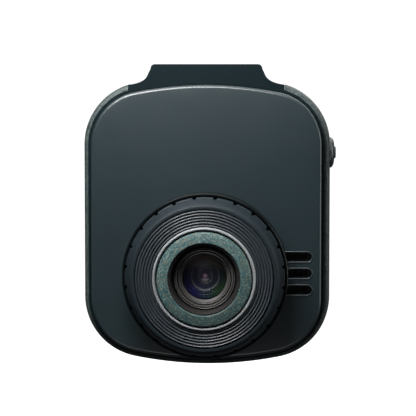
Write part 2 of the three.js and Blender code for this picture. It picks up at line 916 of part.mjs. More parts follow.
// A flat cable bent into a step: out along Y from one board, then up beside the other.
function sensorRibbon() {
  const half = 4;
  const bottom = lensZ + 9 + gap;
  const top = bottom + 3;
  const thick = 0.25;
  const front = sensorBoardFront + 0.2;
  const back = boardFront - gap;
  const tab = box(-half, half, front, front + thick, bottom, top);
  const run = box(-half, half, front, back, top - thick, top);
  return tab.add(run);
}

function displayRibbon() {
  const half = 6;
  const thick = 0.25;
  const front = boardBack + gap;
  const back = panelBack - panelThick - gap;
  const z = windowTop - windowTall + 2.5;
  const run = box(-half, half, front, back, z, z + thick);
  const tab = box(-half, half, back - thick, back, z, z + 3);
  return run.add(tab);
}

function battery() {
  const shape = roundedRectangle(-2, crownZ - 15.5, 32, 17, 1.5);
  return plate(shape, coverInner + gap, coverInner + gap + 5.2, 4);
}

const speakerX = (slotEnd + slotStart) / 2 - 1;
const meshBack = coverInner + gap + 0.35;

function speaker() {
  const shape = roundedRectangle(speakerX, lensZ, 10, 14, 2);
  return plate(shape, meshBack + gap, meshBack + gap + 3.2, 4);
}

function speakerMesh() {
  const height = slotPitch * (slotCount - 1) + slotHeight + 2;
  const shape = roundedRectangle(speakerX + 0.8, lensZ, 6.6, height, 1);
  return plate(shape, coverInner + gap, meshBack, 4);
}

// ---------------------------------------------------------------- assembly

addPiece('front_cover', frontCover(), satinBlack, 0.45);
addPiece('mount_frame', mountFrame(), smoothBlack, 0.5);
addPiece('side_band', sideBand(), bandGrey, 0.75);
addPiece('rear_cover', rearCover(), satinBlack, 0.5);
addPiece('display_window', displayWindow(), glossBlack, 0.08);
addPiece('display_panel', displayPanel(), chipBlack, 0.3);

for (let i = 0; i < menuCount; i += 1) {
  addPiece(`menu_button_${i + 1}`, menuButton(i), smoothBlack, 0.4);
  addPiece(`menu_switch_${i + 1}`, menuSwitch(i), metalGrey, 0.4, 0.6);
}

addPiece('rear_screw_left', rearScrew(-1), metalGrey, 0.35, 1);
addPiece('rear_screw_right', rearScrew(1), metalGrey, 0.35, 1);
addPiece('light_pipe', lightPipe(), pipeClear, 0.2);
addPiece('status_led', statusLed(), ledCream, 0.3);

addPiece('lens_collar', lensCollar(), glossBlack, 0.35);
addPiece('lens_bezel', lensBezel(), satinBlack, 0.4);
addPiece('ribbed_ring', ribbedRing(), satinBlack, 0.4);
addPiece('trim_ring', trimRing(), flakeGrey, 0.5, 0.4);
addPiece('lens_hood', lensHood(), glossBlack, 0.5);
addPiece('lens_barrel', lensBarrel(), glossBlack, 0.4);
addPiece('lens_retainer', lensRetainer(), chipBlack, 0.35);
addPiece('front_element', frontElement(), glassTint, 0.03);
addPiece('middle_element', middleElement(), glassTint, 0.03);
addPiece('rear_element', rearElement(), glassTint, 0.03);
addPiece('lens_lock_ring', lensLockRing(), glossBlack, 0.4);
addPiece('lens_holder', lensHolder(), chipBlack, 0.6);
addPiece('image_sensor', imageSensor(), sensorGrey, 0.2);
addPiece('sensor_board', sensorBoard(), boardGreen, 0.5);
addPiece('sensor_ribbon', sensorRibbon(), ribbonAmber, 0.5);

addPiece('power_button', powerButton(), smoothBlack, 0.4);
addPiece('power_switch', powerSwitch(), metalGrey, 0.4, 0.6);
addPiece('usb_surround', usbSurround(), smoothBlack, 0.5);
addPiece('usb_receptacle', usbReceptacle(), metalGrey, 0.3, 1);
addPiece('usb_tongue', usbTongue(), chipBlack, 0.6);
addPiece('card_socket', cardSocket(), metalGrey, 0.35, 1);
addPiece('memory_card', memoryCard(), chipBlack, 0.5);

addPiece('main_board', mainBoard(), boardGreen, 0.5);
addPiece('processor', chip(11, baseZ + 33, 12, 12), chipBlack, 0.5);
addPiece('memory_chip', chip(9, baseZ + 45, 8, 7), chipBlack, 0.5);
addPiece('power_chip', chip(-4, baseZ + 48, 5, 5), chipBlack, 0.5);
addPiece('motion_sensor', chip(-4, baseZ + 40, 3, 3, 0.9), chipBlack, 0.5);
addPiece('microphone', chip(19, baseZ + 30, 3.8, 3, 1.1), metalGrey, 0.3, 1);
addPiece('display_ribbon', displayRibbon(), ribbonAmber, 0.5);
addPiece('battery', battery(), cellSilver, 0.35, 0.3);
addPiece('speaker', speaker(), chipBlack, 0.5);
addPiece('speaker_mesh', speakerMesh(), metalGrey, 0.4, 0.8);

export default dashCamera;
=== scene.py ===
"""The looks of the dash camera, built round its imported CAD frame. Metres, +Z up, lens along -Y."""
import json
import math
import bmesh
import bpy
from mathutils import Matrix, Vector


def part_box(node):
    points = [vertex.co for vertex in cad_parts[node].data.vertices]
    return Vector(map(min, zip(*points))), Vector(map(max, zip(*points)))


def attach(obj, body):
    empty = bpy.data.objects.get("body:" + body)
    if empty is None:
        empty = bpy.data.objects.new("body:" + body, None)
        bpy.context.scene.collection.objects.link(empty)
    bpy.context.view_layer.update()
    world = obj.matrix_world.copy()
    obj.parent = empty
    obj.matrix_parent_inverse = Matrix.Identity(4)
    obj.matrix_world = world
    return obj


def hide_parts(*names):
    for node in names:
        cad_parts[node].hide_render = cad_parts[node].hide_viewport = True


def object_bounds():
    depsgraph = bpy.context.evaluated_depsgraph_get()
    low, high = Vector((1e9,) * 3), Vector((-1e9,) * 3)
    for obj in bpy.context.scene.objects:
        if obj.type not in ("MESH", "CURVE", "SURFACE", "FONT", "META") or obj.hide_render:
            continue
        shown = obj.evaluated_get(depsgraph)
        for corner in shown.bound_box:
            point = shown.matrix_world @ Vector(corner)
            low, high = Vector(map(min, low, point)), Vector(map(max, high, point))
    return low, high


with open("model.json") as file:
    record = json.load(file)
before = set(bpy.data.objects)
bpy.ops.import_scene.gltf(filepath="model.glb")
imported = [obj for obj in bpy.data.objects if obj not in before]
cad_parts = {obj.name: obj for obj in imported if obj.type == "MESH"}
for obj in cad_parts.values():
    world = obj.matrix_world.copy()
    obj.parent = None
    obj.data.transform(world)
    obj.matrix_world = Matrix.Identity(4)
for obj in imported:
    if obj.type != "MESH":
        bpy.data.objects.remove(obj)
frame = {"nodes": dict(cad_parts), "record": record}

cad_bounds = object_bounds()
mm = 0.001
TAU = 2 * math.pi

# ---- sizes taken from the frame

band_lo, band_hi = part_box("side_band")
rim_lo, rim_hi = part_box("mount_frame")
cover_lo, cover_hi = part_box("front_cover")
rear_lo, rear_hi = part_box("rear_cover")
window_lo, window_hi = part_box("display_window")
collar_lo, collar_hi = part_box("lens_collar")
bezel_lo, bezel_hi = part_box("lens_bezel")
ribbed_lo, ribbed_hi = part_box("ribbed_ring")
trim_lo, trim_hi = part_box("trim_ring")
hood_lo, hood_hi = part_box("lens_hood")
barrel_lo, barrel_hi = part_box("lens_barrel")
retainer_lo, retainer_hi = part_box("lens_retainer")
front_glass_lo, front_glass_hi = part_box("front_element")
power_lo, power_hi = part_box("power_button")
usb_lo, usb_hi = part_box("usb_surround")
shell_lo, shell_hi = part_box("usb_receptacle")
card_lo, card_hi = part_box("memory_card")


def middle(low, high):
    return [(a + b) / 2 for a, b in zip(low, high)]


side_x = band_hi[0]
base_z = band_lo[2]
cover_inset = side_x - cover_hi[0]
crown_z = cover_hi[2] + cover_inset
middle_z = (crown_z + base_z) / 2
rim_inset = side_x - rim_hi[0]
rim_front = rim_lo[1]
frame_back = rim_hi[1]
cover_front = cover_lo[1]
rear_face = rear_hi[1]
lens_z = middle(trim_lo, trim_hi)[2]
window_z = middle(window_lo, window_hi)[2]
window_width = window_hi[0] - window_lo[0]
window_height = window_hi[2] - window_lo[2]
gap = 0.15 * mm

# the same round corners and bowed edges as the housing
corner_radius = 13.7 * mm
crown_radius = 80 * mm
corner_x = side_x - corner_radius
corner_reach = math.sqrt((crown_radius - corner_radius) ** 2 - corner_x ** 2)
corner_top_z = crown_z - crown_radius + corner_reach
corner_base_z = base_z + crown_radius - corner_reach
corner_turn = math.atan2(corner_reach, corner_x)


# ---- mesh helpers

def arc(centre, radius, start, end, steps):
    """Points along an arc, as (a, b) pairs, with both ends."""
    turns = [start + (end - start) * i / steps for i in range(steps + 1)]
    return [(centre[0] + radius * math.cos(t), centre[1] + radius * math.sin(t)) for t in turns]


def circle(centre, radius, steps):
    """Evenly spaced points once round a circle."""
    return arc(centre, radius, 0, TAU * (1 - 1 / steps), steps - 1)


def from_corner(radius, y, offsets):
    """Profile points (radius, y) from their offsets to a corner, given in millimetres."""
    return [(radius + outward * mm, y + back * mm) for outward, back in offsets]


def outline(inset, corner_steps=28, crown_steps=32, side_steps=24):
    """The housing's outline in X and Z, set in by a distance."""
    corner = corner_radius - inset
    crown = crown_radius - inset
    turn = corner_turn
    top_centre = (0, crown_z - crown_radius)
    base_centre = (0, base_z + crown_radius)
    right = side_x - inset
    rise = corner_top_z - corner_base_z
    up = [(right, corner_base_z + rise * i / side_steps) for i in range(1, side_steps)]
    down = [(-right, corner_top_z - rise * i / side_steps) for i in range(1, side_steps)]
    points = arc((corner_x, corner_top_z), corner, 0, turn, corner_steps)
    points += arc(top_centre, crown, turn, math.pi - turn, crown_steps)[1:-1]
    points += arc((-corner_x, corner_top_z), corner, math.pi - turn, math.pi, corner_steps)
    points += down
    points += arc((-corner_x, corner_base_z), corner, math.pi, math.pi + turn, corner_steps)
    points += arc(base_centre, crown, math.pi + turn, TAU - turn, crown_steps)[1:-1]
    points += arc((corner_x, corner_base_z), corner, TAU - turn, TAU, corner_steps)
    return points + up


def ring_at(points, y):
    return [Vector((x, y, z)) for x, z in points]


def scaled(points, scale):
    return [(x * scale, middle_z + (z - middle_z) * scale) for x, z in points]


def make(name, vertices, faces):
    """A mesh object with its faces turned outwards."""
    mesh = bpy.data.meshes.new(name)
    mesh.from_pydata(vertices, [], faces)
    piece = bpy.data.objects.new(name, mesh)
    bpy.context.scene.collection.objects.link(piece)
    grid = bmesh.new()
    grid.from_mesh(mesh)
    bmesh.ops.remove_doubles(grid, verts=grid.verts, dist=1e-7)
    bmesh.ops.recalc_face_normals(grid, faces=grid.faces)
    grid.to_mesh(mesh)
    grid.free()
    return piece


def loft(name, rings, closed=False):
    """A solid through rings of points. closed joins the last ring to the first instead of capping."""
    count = len(rings[0])
    vertices = [p for ring in rings for p in ring]
    faces = []
    spans = len(rings) if closed else len(rings) - 1
    for k in range(spans):
        low = k * count
        high = ((k + 1) % len(rings)) * count
        for i in range(count):
            j = (i + 1) % count
            faces.append((low + i, low + j, high + j, high + i))
    if not closed:
        for low, ring in ((0, rings[0]), ((len(rings) - 1) * count, rings[-1])):
            hub = len(vertices)
            vertices.append(sum(ring, Vector()) / count)
            faces += [(low + i, low + (i + 1) % count, hub) for i in range(count)]
    return make(name, vertices, faces)


def spin(name, profile, steps=160, cut=None):
    """Turns a closed profile of (radius, y) about the optical axis. cut(radius, y, angle) may
    return a smaller radius."""
    rings = []
    for i in range(steps):
        angle = TAU * i / steps
        ring = []
        for radius, y in profile:
            reach = cut(radius, y, angle) if cut else radius
            ring.append(Vector((reach * math.cos(angle), y, lens_z + reach * math.sin(angle))))
        rings.append(ring)
    return loft(name, rings, closed=True)


def skin(name, stations):
    """A capped solid whose rings follow the housing's outline, from (inset, y) pairs."""
    return loft(name, [ring_at(outline(inset), y) for inset, y in stations])


def stadium(centre_x, centre_z, width, height, radius, steps=10):
    """A rectangle with round corners, in X and Z."""
    x = width / 2 - radius
    z = height / 2 - radius
    points = []
    for k, (sx, sz) in enumerate(((1, 1), (-1, 1), (-1, -1), (1, -1))):
        centre = (centre_x + sx * x, centre_z + sz * z)
        points += arc(centre, radius, k * math.pi / 2, (k + 1) * math.pi / 2, steps)
    return points


def bake(piece):
    """Applies the modifiers of a piece to its mesh."""
    graph = bpy.context.evaluated_depsgraph_get()
    graph.update()
    mesh = bpy.data.meshes.new_from_object(piece.evaluated_get(graph))
    old = piece.data
    piece.modifiers.clear()
    piece.data = mesh
    bpy.data.meshes.remove(old)


def boolean(piece, tool, operation="DIFFERENCE"):
    """Cuts or joins with another solid, which is used up."""
    modifier = piece.modifiers.new(operation, "BOOLEAN")
    modifier.operation = operation
    modifier.solver = "EXACT"
    modifier.object = tool
    bake(piece)
    mesh = tool.data
    bpy.data.objects.remove(tool)
    bpy.data.meshes.remove(mesh)


def bevel(piece, width, segments=3, angle=35):
    modifier = piece.modifiers.new("edges", "BEVEL")
    modifier.width = width
    modifier.segments = segments
    modifier.limit_method = "ANGLE"
    modifier.angle_limit = math.radians(angle)
    modifier.use_clamp_overlap = True
    bake(piece)


def box_tool(low, high):
    """A plain block for cutting with."""
    corners = [(x, y, z) for x in (low[0], high[0]) for y in (low[1], high[1]) for z in (low[2], high[2])]
    faces = [(0, 1, 3, 2), (4, 6, 7, 5), (0, 4, 5, 1), (2, 3, 7, 6), (0, 2, 6, 4), (1, 5, 7, 3)]
    return make("tool", corners, faces)


def prism_tool(points, y_front, y_back):
    return loft("tool", [ring_at(points, y_front), ring_at(points, y_back)])


def rod_tool(radius, x, z, y_front, y_back, steps=64):
    return prism_tool(circle((x, z), radius, steps), y_front, y_back)


def side_ring(radius, x, y, z, steps):
    """A ring of points about a line along X."""
    return [Vector((x, *point)) for point in circle((y, z), radius, steps)]


def side_rod_tool(radius, y, z, x_from, x_to, steps=64):
    return loft("tool", [side_ring(radius, x, y, z, steps) for x in (x_from, x_to)])


replaced_nodes = set()


def finish_piece(piece, look, body="housing", nodes=(), smooth=38):
    """Shades a piece, gives it its look and says what it rides on and stands for. Its material slot has
    the look's name."""
    piece.data.materials.clear()
    piece.data.materials.append(looks[look])
    piece.data.polygons.foreach_set("use_smooth", [True] * len(piece.data.polygons))
    piece.data.polygons.foreach_set("material_index", [0] * len(piece.data.polygons))
    piece.data.set_sharp_from_angle(angle=math.radians(smooth))
    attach(piece, body)
    if nodes:
        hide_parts(*nodes)
        replaced_nodes.update(nodes)


# ---- materials

class Recipe:
    """A material being built: its shader and a short way to add and join nodes."""

    def __init__(self, name, color, roughness, metallic=0.0):
        self.material = bpy.data.materials.new(name)
        self.material.use_nodes = True
        self.tree = self.material.node_tree
        self.shader = self.tree.nodes["Principled BSDF"]
        self.put("Base Color", (*color, 1))
        self.put("Roughness", roughness)
        self.put("Metallic", metallic)
        self.color = color
        self.roughness = roughness
        self.where = self.node("ShaderNodeTexCoord").outputs["Object"]

    def node(self, kind, **settings):
        made = self.tree.nodes.new(kind)
        for key, value in settings.items():
            setattr(made, key, value)
        return made

    def join(self, output, target):
        self.tree.links.new(output, target)

    def put(self, name, value):
        """Sets a value of the shader that is the same all over."""
        self.shader.inputs[name].default_value = value

    def drive(self, name, output):
        """Lets a value of the shader follow a pattern."""
        self.join(output, self.shader.inputs[name])

    def noise(self, scale, detail):
        made = self.node("ShaderNodeTexNoise")
        made.inputs["Scale"].default_value = scale
        made.inputs["Detail"].default_value = detail
        self.join(self.where, made.inputs["Vector"])
        return made.outputs["Fac"]

    def cells(self, scale, feature="F1", output="Distance"):
        made = self.node("ShaderNodeTexVoronoi", feature=feature)
        made.inputs["Scale"].default_value = scale
        self.join(self.where, made.inputs["Vector"])
        return made.outputs[output]

    def axis_distance(self):
        """Distance of a point from the optical axis."""
        flat = self.node("ShaderNodeVectorMath", operation="MULTIPLY_ADD")
        flat.inputs[1].default_value = (1, 0, 1)
        flat.inputs[2].default_value = (0, 0, -lens_z)
        self.join(self.where, flat.inputs[0])
        length = self.node("ShaderNodeVectorMath", operation="LENGTH")
        self.join(flat.outputs["Vector"], length.inputs[0])
        return length.outputs["Value"]

    def ramp(self, source, stops):
        """A colour ramp through (place, colour) stops."""
        made = self.node("ShaderNodeValToRGB")
        places = made.color_ramp.elements
        for place, color in stops:
            places.new(place).color = (*color, 1)
        places.remove(places[0])
        places.remove(places[-1])
        self.join(source, made.inputs["Fac"])
        return made.outputs["Color"]

    def range(self, source, low, high, from_low=0.0, from_high=1.0):
        made = self.node("ShaderNodeMapRange")
        made.inputs["From Min"].default_value = from_low
        made.inputs["From Max"].default_value = from_high
        made.inputs["To Min"].default_value = low
        made.inputs["To Max"].default_value = high
        self.join(source, made.inputs["Value"])
        return made.outputs["Result"]

    def blend(self, factor, first, second):
        made = self.node("ShaderNodeMix", data_type="RGBA")
        made.inputs["A"].default_value = (*first, 1)
        made.inputs["B"].default_value = (*second, 1)
        self.join(factor, made.inputs["Factor"])
        return made.outputs["Result"]

    def math(self, operation, first, second):
        made = self.node("ShaderNodeMath", operation=operation)
        for socket, value in zip(made.inputs, (first, second)):
            if isinstance(value, (int, float)):
                socket.default_value = value
            else:
                self.join(value, socket)
        return made.outputs["Value"]

    def bump(self, height, strength, distance):
        made = self.node("ShaderNodeBump")
        made.inputs["Strength"].default_value = strength
        made.inputs["Distance"].default_value = distance
        self.join(height, made.inputs["Height"])
        self.drive("Normal", made.outputs["Normal"])

    def vary_color(self, factor, spread):
        """Slow changes of tone about the base colour."""
        darker = tuple(c * (1 - spread) for c in self.color)
        lighter = tuple(min(1, c * (1 + spread)) for c in self.color)
        self.drive("Base Color", self.blend(factor, darker, lighter))

    def vary_roughness(self, factor, spread):
        low, high = self.roughness - spread, self.roughness + spread
        self.drive("Roughness", self.range(factor, low, high, 0.3, 0.7))


def moulded_plastic(name, color, roughness, grain=9000, specular=0.5):
    """Moulded plastic: a very fine spark-eroded grain, uneven gloss and slow changes of tone."""
    recipe = Recipe(name, color, roughness)
    recipe.put("Specular IOR Level", specular)
    recipe.vary_color(recipe.noise(60, 4), 0.12)
    recipe.vary_roughness(recipe.noise(400, 5), 0.015)
    recipe.bump(recipe.noise(grain, 2), 0.35, 0.006 * mm)
    return recipe.material


def grained_wrap():
    """Leather-like wrap: small pebbles, with painted shade darkening the creases between them."""
    recipe = Recipe("band_grain", (0.055, 0.068, 0.068), 0.62)
    pebbles = recipe.cells(1500, feature="SMOOTH_F1")
    fine = recipe.noise(6000, 3)
    rounded = recipe.math("MULTIPLY", pebbles, -1.0)
    height = recipe.math("ADD", rounded, recipe.math("MULTIPLY", fine, 0.3))
    # the creases get a darker colour as painted shade, the pebble tops a lighter one
    painted_crease_shade = recipe.range(pebbles, 0.0, 1.0, 0.25, 0.75)
    recipe.put("Specular IOR Level", 0.25)
    recipe.drive("Base Color", recipe.blend(painted_crease_shade, (0.025, 0.034, 0.033), (0.006, 0.01, 0.01)))
    recipe.vary_roughness(recipe.noise(300, 3), 0.08)
    recipe.bump(height, 0.8, 0.12 * mm)
    return recipe.material


def flake_paint():
    """Teal-grey paint full of very fine flakes, each turned its own way."""
    recipe = Recipe("flake_trim", (0.05, 0.08, 0.078), 0.48)
    flakes = recipe.cells(5200, output="Color")
    split = recipe.node("ShaderNodeSeparateColor")
    recipe.join(flakes, split.inputs["Color"])
    recipe.put("Specular IOR Level", 0.2)
    deep, teal, pale = (0.006, 0.024, 0.033), (0.016, 0.042, 0.042), (0.025, 0.052, 0.05)
    bronze, bright = (0.062, 0.048, 0.026), (0.068, 0.11, 0.105)
    stops = ((0.06, deep), (0.4, teal), (0.62, pale), (0.78, bronze), (0.94, bright))
    recipe.drive("Base Color", recipe.ramp(split.outputs["Red"], stops))
    recipe.drive("Roughness", recipe.range(split.outputs["Green"], 0.4, 0.6))
    recipe.bump(split.outputs["Blue"], 0.12, 0.01 * mm)
    return recipe.material


def turned_finish(name, color, roughness, specular):
    """A lathe-turned finish: faint rings about the optical axis."""
    recipe = Recipe(name, color, roughness)
    recipe.put("Specular IOR Level", specular)
    rings = recipe.node("ShaderNodeTexNoise", noise_dimensions="1D")
    rings.inputs["Scale"].default_value = 9000
    recipe.join(recipe.axis_distance(), rings.inputs["W"])
    recipe.vary_color(recipe.noise(90, 3), 0.12)
    recipe.vary_roughness(rings.outputs["Fac"], 0.07)
    recipe.bump(rings.outputs["Fac"], 0.25, 0.01 * mm)
    return recipe.material


def plated_metal(name, color, roughness):
    recipe = Recipe(name, color, roughness, 1.0)
    recipe.vary_color(recipe.noise(900, 4), 0.15)
    recipe.vary_roughness(recipe.noise(2500, 4), 0.1)
    recipe.bump(recipe.noise(7000, 2), 0.2, 0.005 * mm)
    return recipe.material


def clear_glass():
    """The front element: almost no reflection of its own, because it is coated."""
    recipe = Recipe("coated_glass", (0.02, 0.018, 0.04), 0.04)
    recipe.put("Alpha", 0.12)
    recipe.put("IOR", 1.8)
    recipe.drive("Roughness", recipe.range(recipe.noise(500, 2), 0.15, 0.2))
    return recipe.material


def painted_reflection_dome(name, left, right, above, roughness):
    """Dark glass painted with the coloured reflections of its coatings: one colour on the left turning to
    another on the right, and to a third above that stands for the reflection of the light from above."""
    recipe = Recipe(name, left, roughness)
    split = recipe.node("ShaderNodeSeparateXYZ")
    recipe.join(recipe.where, split.inputs["Vector"])
    # painted reflections: the colours across stand for the coatings' reflections, the colour above for the
    # reflection of the light from above
    across = recipe.range(split.outputs["X"], 0.0, 1.0, -2.4 * mm, 2.4 * mm)
    upward = recipe.range(split.outputs["Z"], 0.0, 1.0, lens_z + 0.5 * mm, lens_z + 3.6 * mm)
    mix = recipe.node("ShaderNodeMix", data_type="RGBA")
    mix.inputs["B"].default_value = (*above, 1)
    recipe.join(upward, mix.inputs["Factor"])
    recipe.join(recipe.blend(across, left, right), mix.inputs["A"])
    recipe.drive("Base Color", mix.outputs["Result"])
    recipe.put("Specular IOR Level", 0.12)
    recipe.drive("Roughness", recipe.range(recipe.noise(400, 2), roughness * 0.7, roughness * 1.3))
    return recipe.material


def pupil_painted_glint():
    """The innermost element: a pale pink painted highlight at its middle, dark and grey rings round it."""
    recipe = Recipe("pupil_painted_glint", (0.1, 0.09, 0.1), 0.15)
    reach = recipe.range(recipe.axis_distance(), 0.0, 1.0, 0.0, 1.4 * mm)
    # the pale middle, fading through pink and plum, is a painted highlight
    painted_glint, pink, plum = (0.95, 0.78, 0.88), (0.5, 0.24, 0.42), (0.08, 0.05, 0.08)
    black, grey = (0.02, 0.02, 0.022), (0.09, 0.095, 0.1)
    stops = ((0.14, painted_glint), (0.3, pink), (0.48, plum), (0.68, black), (0.8, grey), (0.95, grey))
    recipe.drive("Base Color", recipe.ramp(reach, stops))
    recipe.drive("Roughness", recipe.range(recipe.noise(400, 2), 0.12, 0.2))
    return recipe.material


def window_glass():
    """Black-bordered display window: deep gloss with a slightly lighter viewing area."""
    recipe = Recipe("display_glass", (0.004, 0.005, 0.006), 0.06)
    recipe.put("Coat Weight", 0.6)
    recipe.put("Coat Roughness", 0.03)
    split = recipe.node("ShaderNodeSeparateXYZ")
    recipe.join(recipe.where, split.inputs["Vector"])
    half_x = 16.4 * mm
    half_z = 12.3 * mm
    x = recipe.math("ABSOLUTE", split.outputs["X"], 0.0)
    z = recipe.math("ABSOLUTE", recipe.math("SUBTRACT", split.outputs["Z"], window_z), 0.0)
    within_x = recipe.math("LESS_THAN", x, half_x)
    inside = recipe.math("MULTIPLY", within_x, recipe.math("LESS_THAN", z, half_z))
    recipe.drive("Base Color", recipe.blend(inside, (0.0035, 0.004, 0.005), (0.014, 0.017, 0.022)))
    recipe.drive("Roughness", recipe.range(recipe.noise(120, 3), 0.04, 0.09))
    return recipe.material


def woven_mesh():
    """Fine metal mesh: two crossing sets of wires as relief, with painted shade in the openings between
    them.
    """
    recipe = Recipe("mesh_metal", (0.005, 0.006, 0.006), 0.5)
    recipe.put("Specular IOR Level", 0.15)
    waves = []
    for axis in ("X", "Z"):
        wave = recipe.node("ShaderNodeTexWave", bands_direction=axis)
        wave.inputs["Scale"].default_value = 650
        recipe.join(recipe.where, wave.inputs["Vector"])
        waves.append(wave.outputs["Fac"])
    wires = recipe.math("MAXIMUM", *waves)
    # the openings between the wires are painted darker as the shade seen through them
    recipe.drive("Base Color", recipe.blend(wires, (0.001, 0.001, 0.001), (0.006, 0.007, 0.008)))
    recipe.bump(wires, 0.8, 0.05 * mm)
    return recipe.material


def board_mask():
    """Solder mask over copper traces."""
    recipe = Recipe("board_green", (0.02, 0.12, 0.06), 0.35)
    traces = recipe.cells(900, feature="DISTANCE_TO_EDGE")
    copper = recipe.range(traces, 1.0, 0.0, 0.0, 0.12)
    recipe.drive("Base Color", recipe.blend(copper, (0.012, 0.08, 0.04), (0.03, 0.17, 0.08)))
    recipe.bump(copper, 0.3, 0.03 * mm)
    return recipe.material


def floor_paper():
    recipe = Recipe("floor_paper", (0.93, 0.93, 0.93), 0.8)
    recipe.vary_color(recipe.noise(6, 2), 0.01)
    return recipe.material


looks = {
    "cover_plastic": moulded_plastic("cover_plastic", (0.0042, 0.0092, 0.0112), 0.38, specular=0.4),
    "frame_plastic": moulded_plastic("frame_plastic", (0.0013, 0.0042, 0.0052), 0.33, specular=0.16),
    "band_grain": grained_wrap(),
    "turret_black": moulded_plastic("turret_black", (0.0012, 0.002, 0.0022), 0.25, specular=0.15),
    "ring_black": turned_finish("ring_black", (0.0048, 0.008, 0.0102), 0.56, 0.11),
    "rib_black": turned_finish("rib_black", (0.011, 0.0145, 0.0175), 0.42, 0.42),
    "lip_plastic": turned_finish("lip_plastic", (0.11, 0.116, 0.12), 0.58, 0.3),
    "step_grey": moulded_plastic("step_grey", (0.08, 0.084, 0.088), 0.6, 0.1),
    "flake_trim": flake_paint(),
    "hood_black": turned_finish("hood_black", (0.0085, 0.008, 0.0076), 0.5, 0.2),
    "barrel_black": turned_finish("barrel_black", (0.028, 0.0265, 0.0255), 0.42, 0.5),
    "coated_glass": clear_glass(),
    "display_glass": window_glass(),
    "display_cell": moulded_plastic("display_cell", (0.02, 0.024, 0.03), 0.2),
    "button_plastic": moulded_plastic("button_plastic", (0.011, 0.015, 0.016), 0.36),
    "light_guide": moulded_plastic("light_guide", (0.3, 0.36, 0.38), 0.25),
    "plated_steel": plated_metal("plated_steel", (0.55, 0.56, 0.57), 0.32),
    "black_screw": plated_metal("black_screw", (0.06, 0.06, 0.065), 0.38),
    "board_green": board_mask(),
    "chip_black": moulded_plastic("chip_black", (0.015, 0.015, 0.017), 0.5, grain=5000),
    "sensor_glass": moulded_plastic("sensor_glass", (0.03, 0.04, 0.06), 0.12),
    "flex_amber": moulded_plastic("flex_amber", (0.4, 0.2, 0.04), 0.35),
    "cell_wrap": plated_metal("cell_wrap", (0.5, 0.52, 0.55), 0.4),
    "card_plastic": moulded_plastic("card_plastic", (0.012, 0.012, 0.014), 0.45),
    "mesh_metal": woven_mesh(),
    # colours of painted reflections in the lens: left, right, and a third above for the light from above
    "baffle_glass": painted_reflection_dome("baffle_glass", (0.003, 0.002, 0.034), (0.004, 0.018, 0.001),
                                (0.06, 0.036, 0.026), 0.3),
    "pupil_glass": painted_reflection_dome("pupil_glass", (0.01, 0.01, 0.035), (0.008, 0.02, 0.012),
                               (0.015, 0.014, 0.016), 0.25),
    "pupil_painted_glint": pupil_painted_glint(),
    "sign_paint": moulded_plastic("sign_paint", (0.42, 0.46, 0.47), 0.55),
}


# ---- housing

cover_fillet = 0.75 * mm
cover_crown = 0.45 * mm
cover_seat = cover_hi[1]


def quarter(radius, steps):
    """(inset, distance back) pairs round a quarter fillet, from the face to the side."""
    turns = [math.pi / 2 * i / steps for i in range(steps + 1)]
    return [(radius * (1 - math.sin(t)), radius * (1 - math.cos(t))) for t in turns]


def cover_rings(grow=0.0):
    """The front cover's outer skin, from the middle of its face round to its back edge."""
    edge = cover_inset - grow
    front = cover_front - grow
    face_rings = 14
    rings = []
    for i in range(1, face_rings):
        scale = i / face_rings
        face = scaled(outline(edge + cover_fillet), scale)
        rings.append(ring_at(face, front + cover_crown * scale ** 2))
    for inset, back in quarter(cover_fillet, 10):
        rings.append(ring_at(outline(edge + inset), front + cover_crown + back))
    rings.append(ring_at(outline(edge), cover_seat))
    return rings


slot_count = 3
slot_pitch = 3.6 * mm
slot_height = 2.0 * mm
slot_right = 22.9 * mm
slot_left = 15.0 * mm


def slot_outline(index, grow=0.0):
    """One sound slot's outline; the slots stand one above the other beside the turret."""
    z = lens_z + (index - 1) * slot_pitch
    width = slot_right - slot_left + 2 * grow
    height = slot_height + 2 * grow
    return stadium((slot_left + slot_right) / 2, z, width, height, height / 2 - 0.02 * mm, 12)


def front_cover():
    piece = loft("front_cover_shell", cover_rings())
    wall = 1.4 * mm
    turret_hole = 15.4 * mm
    inside = cover_inset + wall
    ceiling = cover_front + cover_crown + wall
    hollow = skin("tool", [(inside + 1.2 * mm, ceiling), (inside, ceiling + 0.8 * mm),
                           (inside, cover_seat + mm)])
    boolean(piece, hollow)
    boolean(piece, rod_tool(turret_hole, 0, lens_z, cover_front - mm, cover_seat, 96))
    for index in range(slot_count):
        boolean(piece, prism_tool(slot_outline(index), cover_front - mm, cover_seat))
    finish_piece(piece, "cover_plastic", nodes=["front_cover"], smooth=30)


def slot_rims():
    """The low rounded lip round each sound slot."""
    width = 0.3 * mm
    for index in range(slot_count):
        pairs = zip(slot_outline(index), slot_outline(index, width))
        sections = [rim_section(inner, outer) for inner, outer in pairs]
        rim = loft(f"slot_rim_{index + 1}", sections, closed=True)
        finish_piece(rim, "cover_plastic")


def rim_section(inner, outer):
    """A half-round section between two points of a slot's outline, standing on the bowed cover."""
    rise = 0.11 * mm
    lift = 0.06 * mm
    root = 0.1 * mm
    a = Vector((inner[0], 0, inner[1]))
    b = Vector((outer[0], 0, outer[1]))
    scale = a.x / (side_x - cover_inset - cover_fillet)
    face = cover_front + cover_crown * scale ** 2
    section = []
    for k in range(9):
        turn = math.pi * k / 8
        place = a.lerp(b, 0.5 - 0.5 * math.cos(turn))
        section.append(Vector((place.x, face - lift - rise * math.sin(turn), place.z)))
    return section + [Vector((b.x, face + root, b.z)), Vector((a.x, face + root, a.z))]


platform_half = 12.1 * mm
foot_half = 17 * mm


def shoulder_z(x, inset):
    """Height of the housing's round top corner at a place across it."""
    return corner_top_z + math.sqrt((corner_radius - inset) ** 2 - (x - corner_x) ** 2)


def bezier(a, b, c, steps):
    """Points of a curve from a to c that leans towards b, without a itself."""
    def at(t):
        return tuple((1 - t) ** 2 * p + 2 * t * (1 - t) * q + t * t * r for p, q, r in zip(a, b, c))

    return [at(i / steps) for i in range(1, steps + 1)]


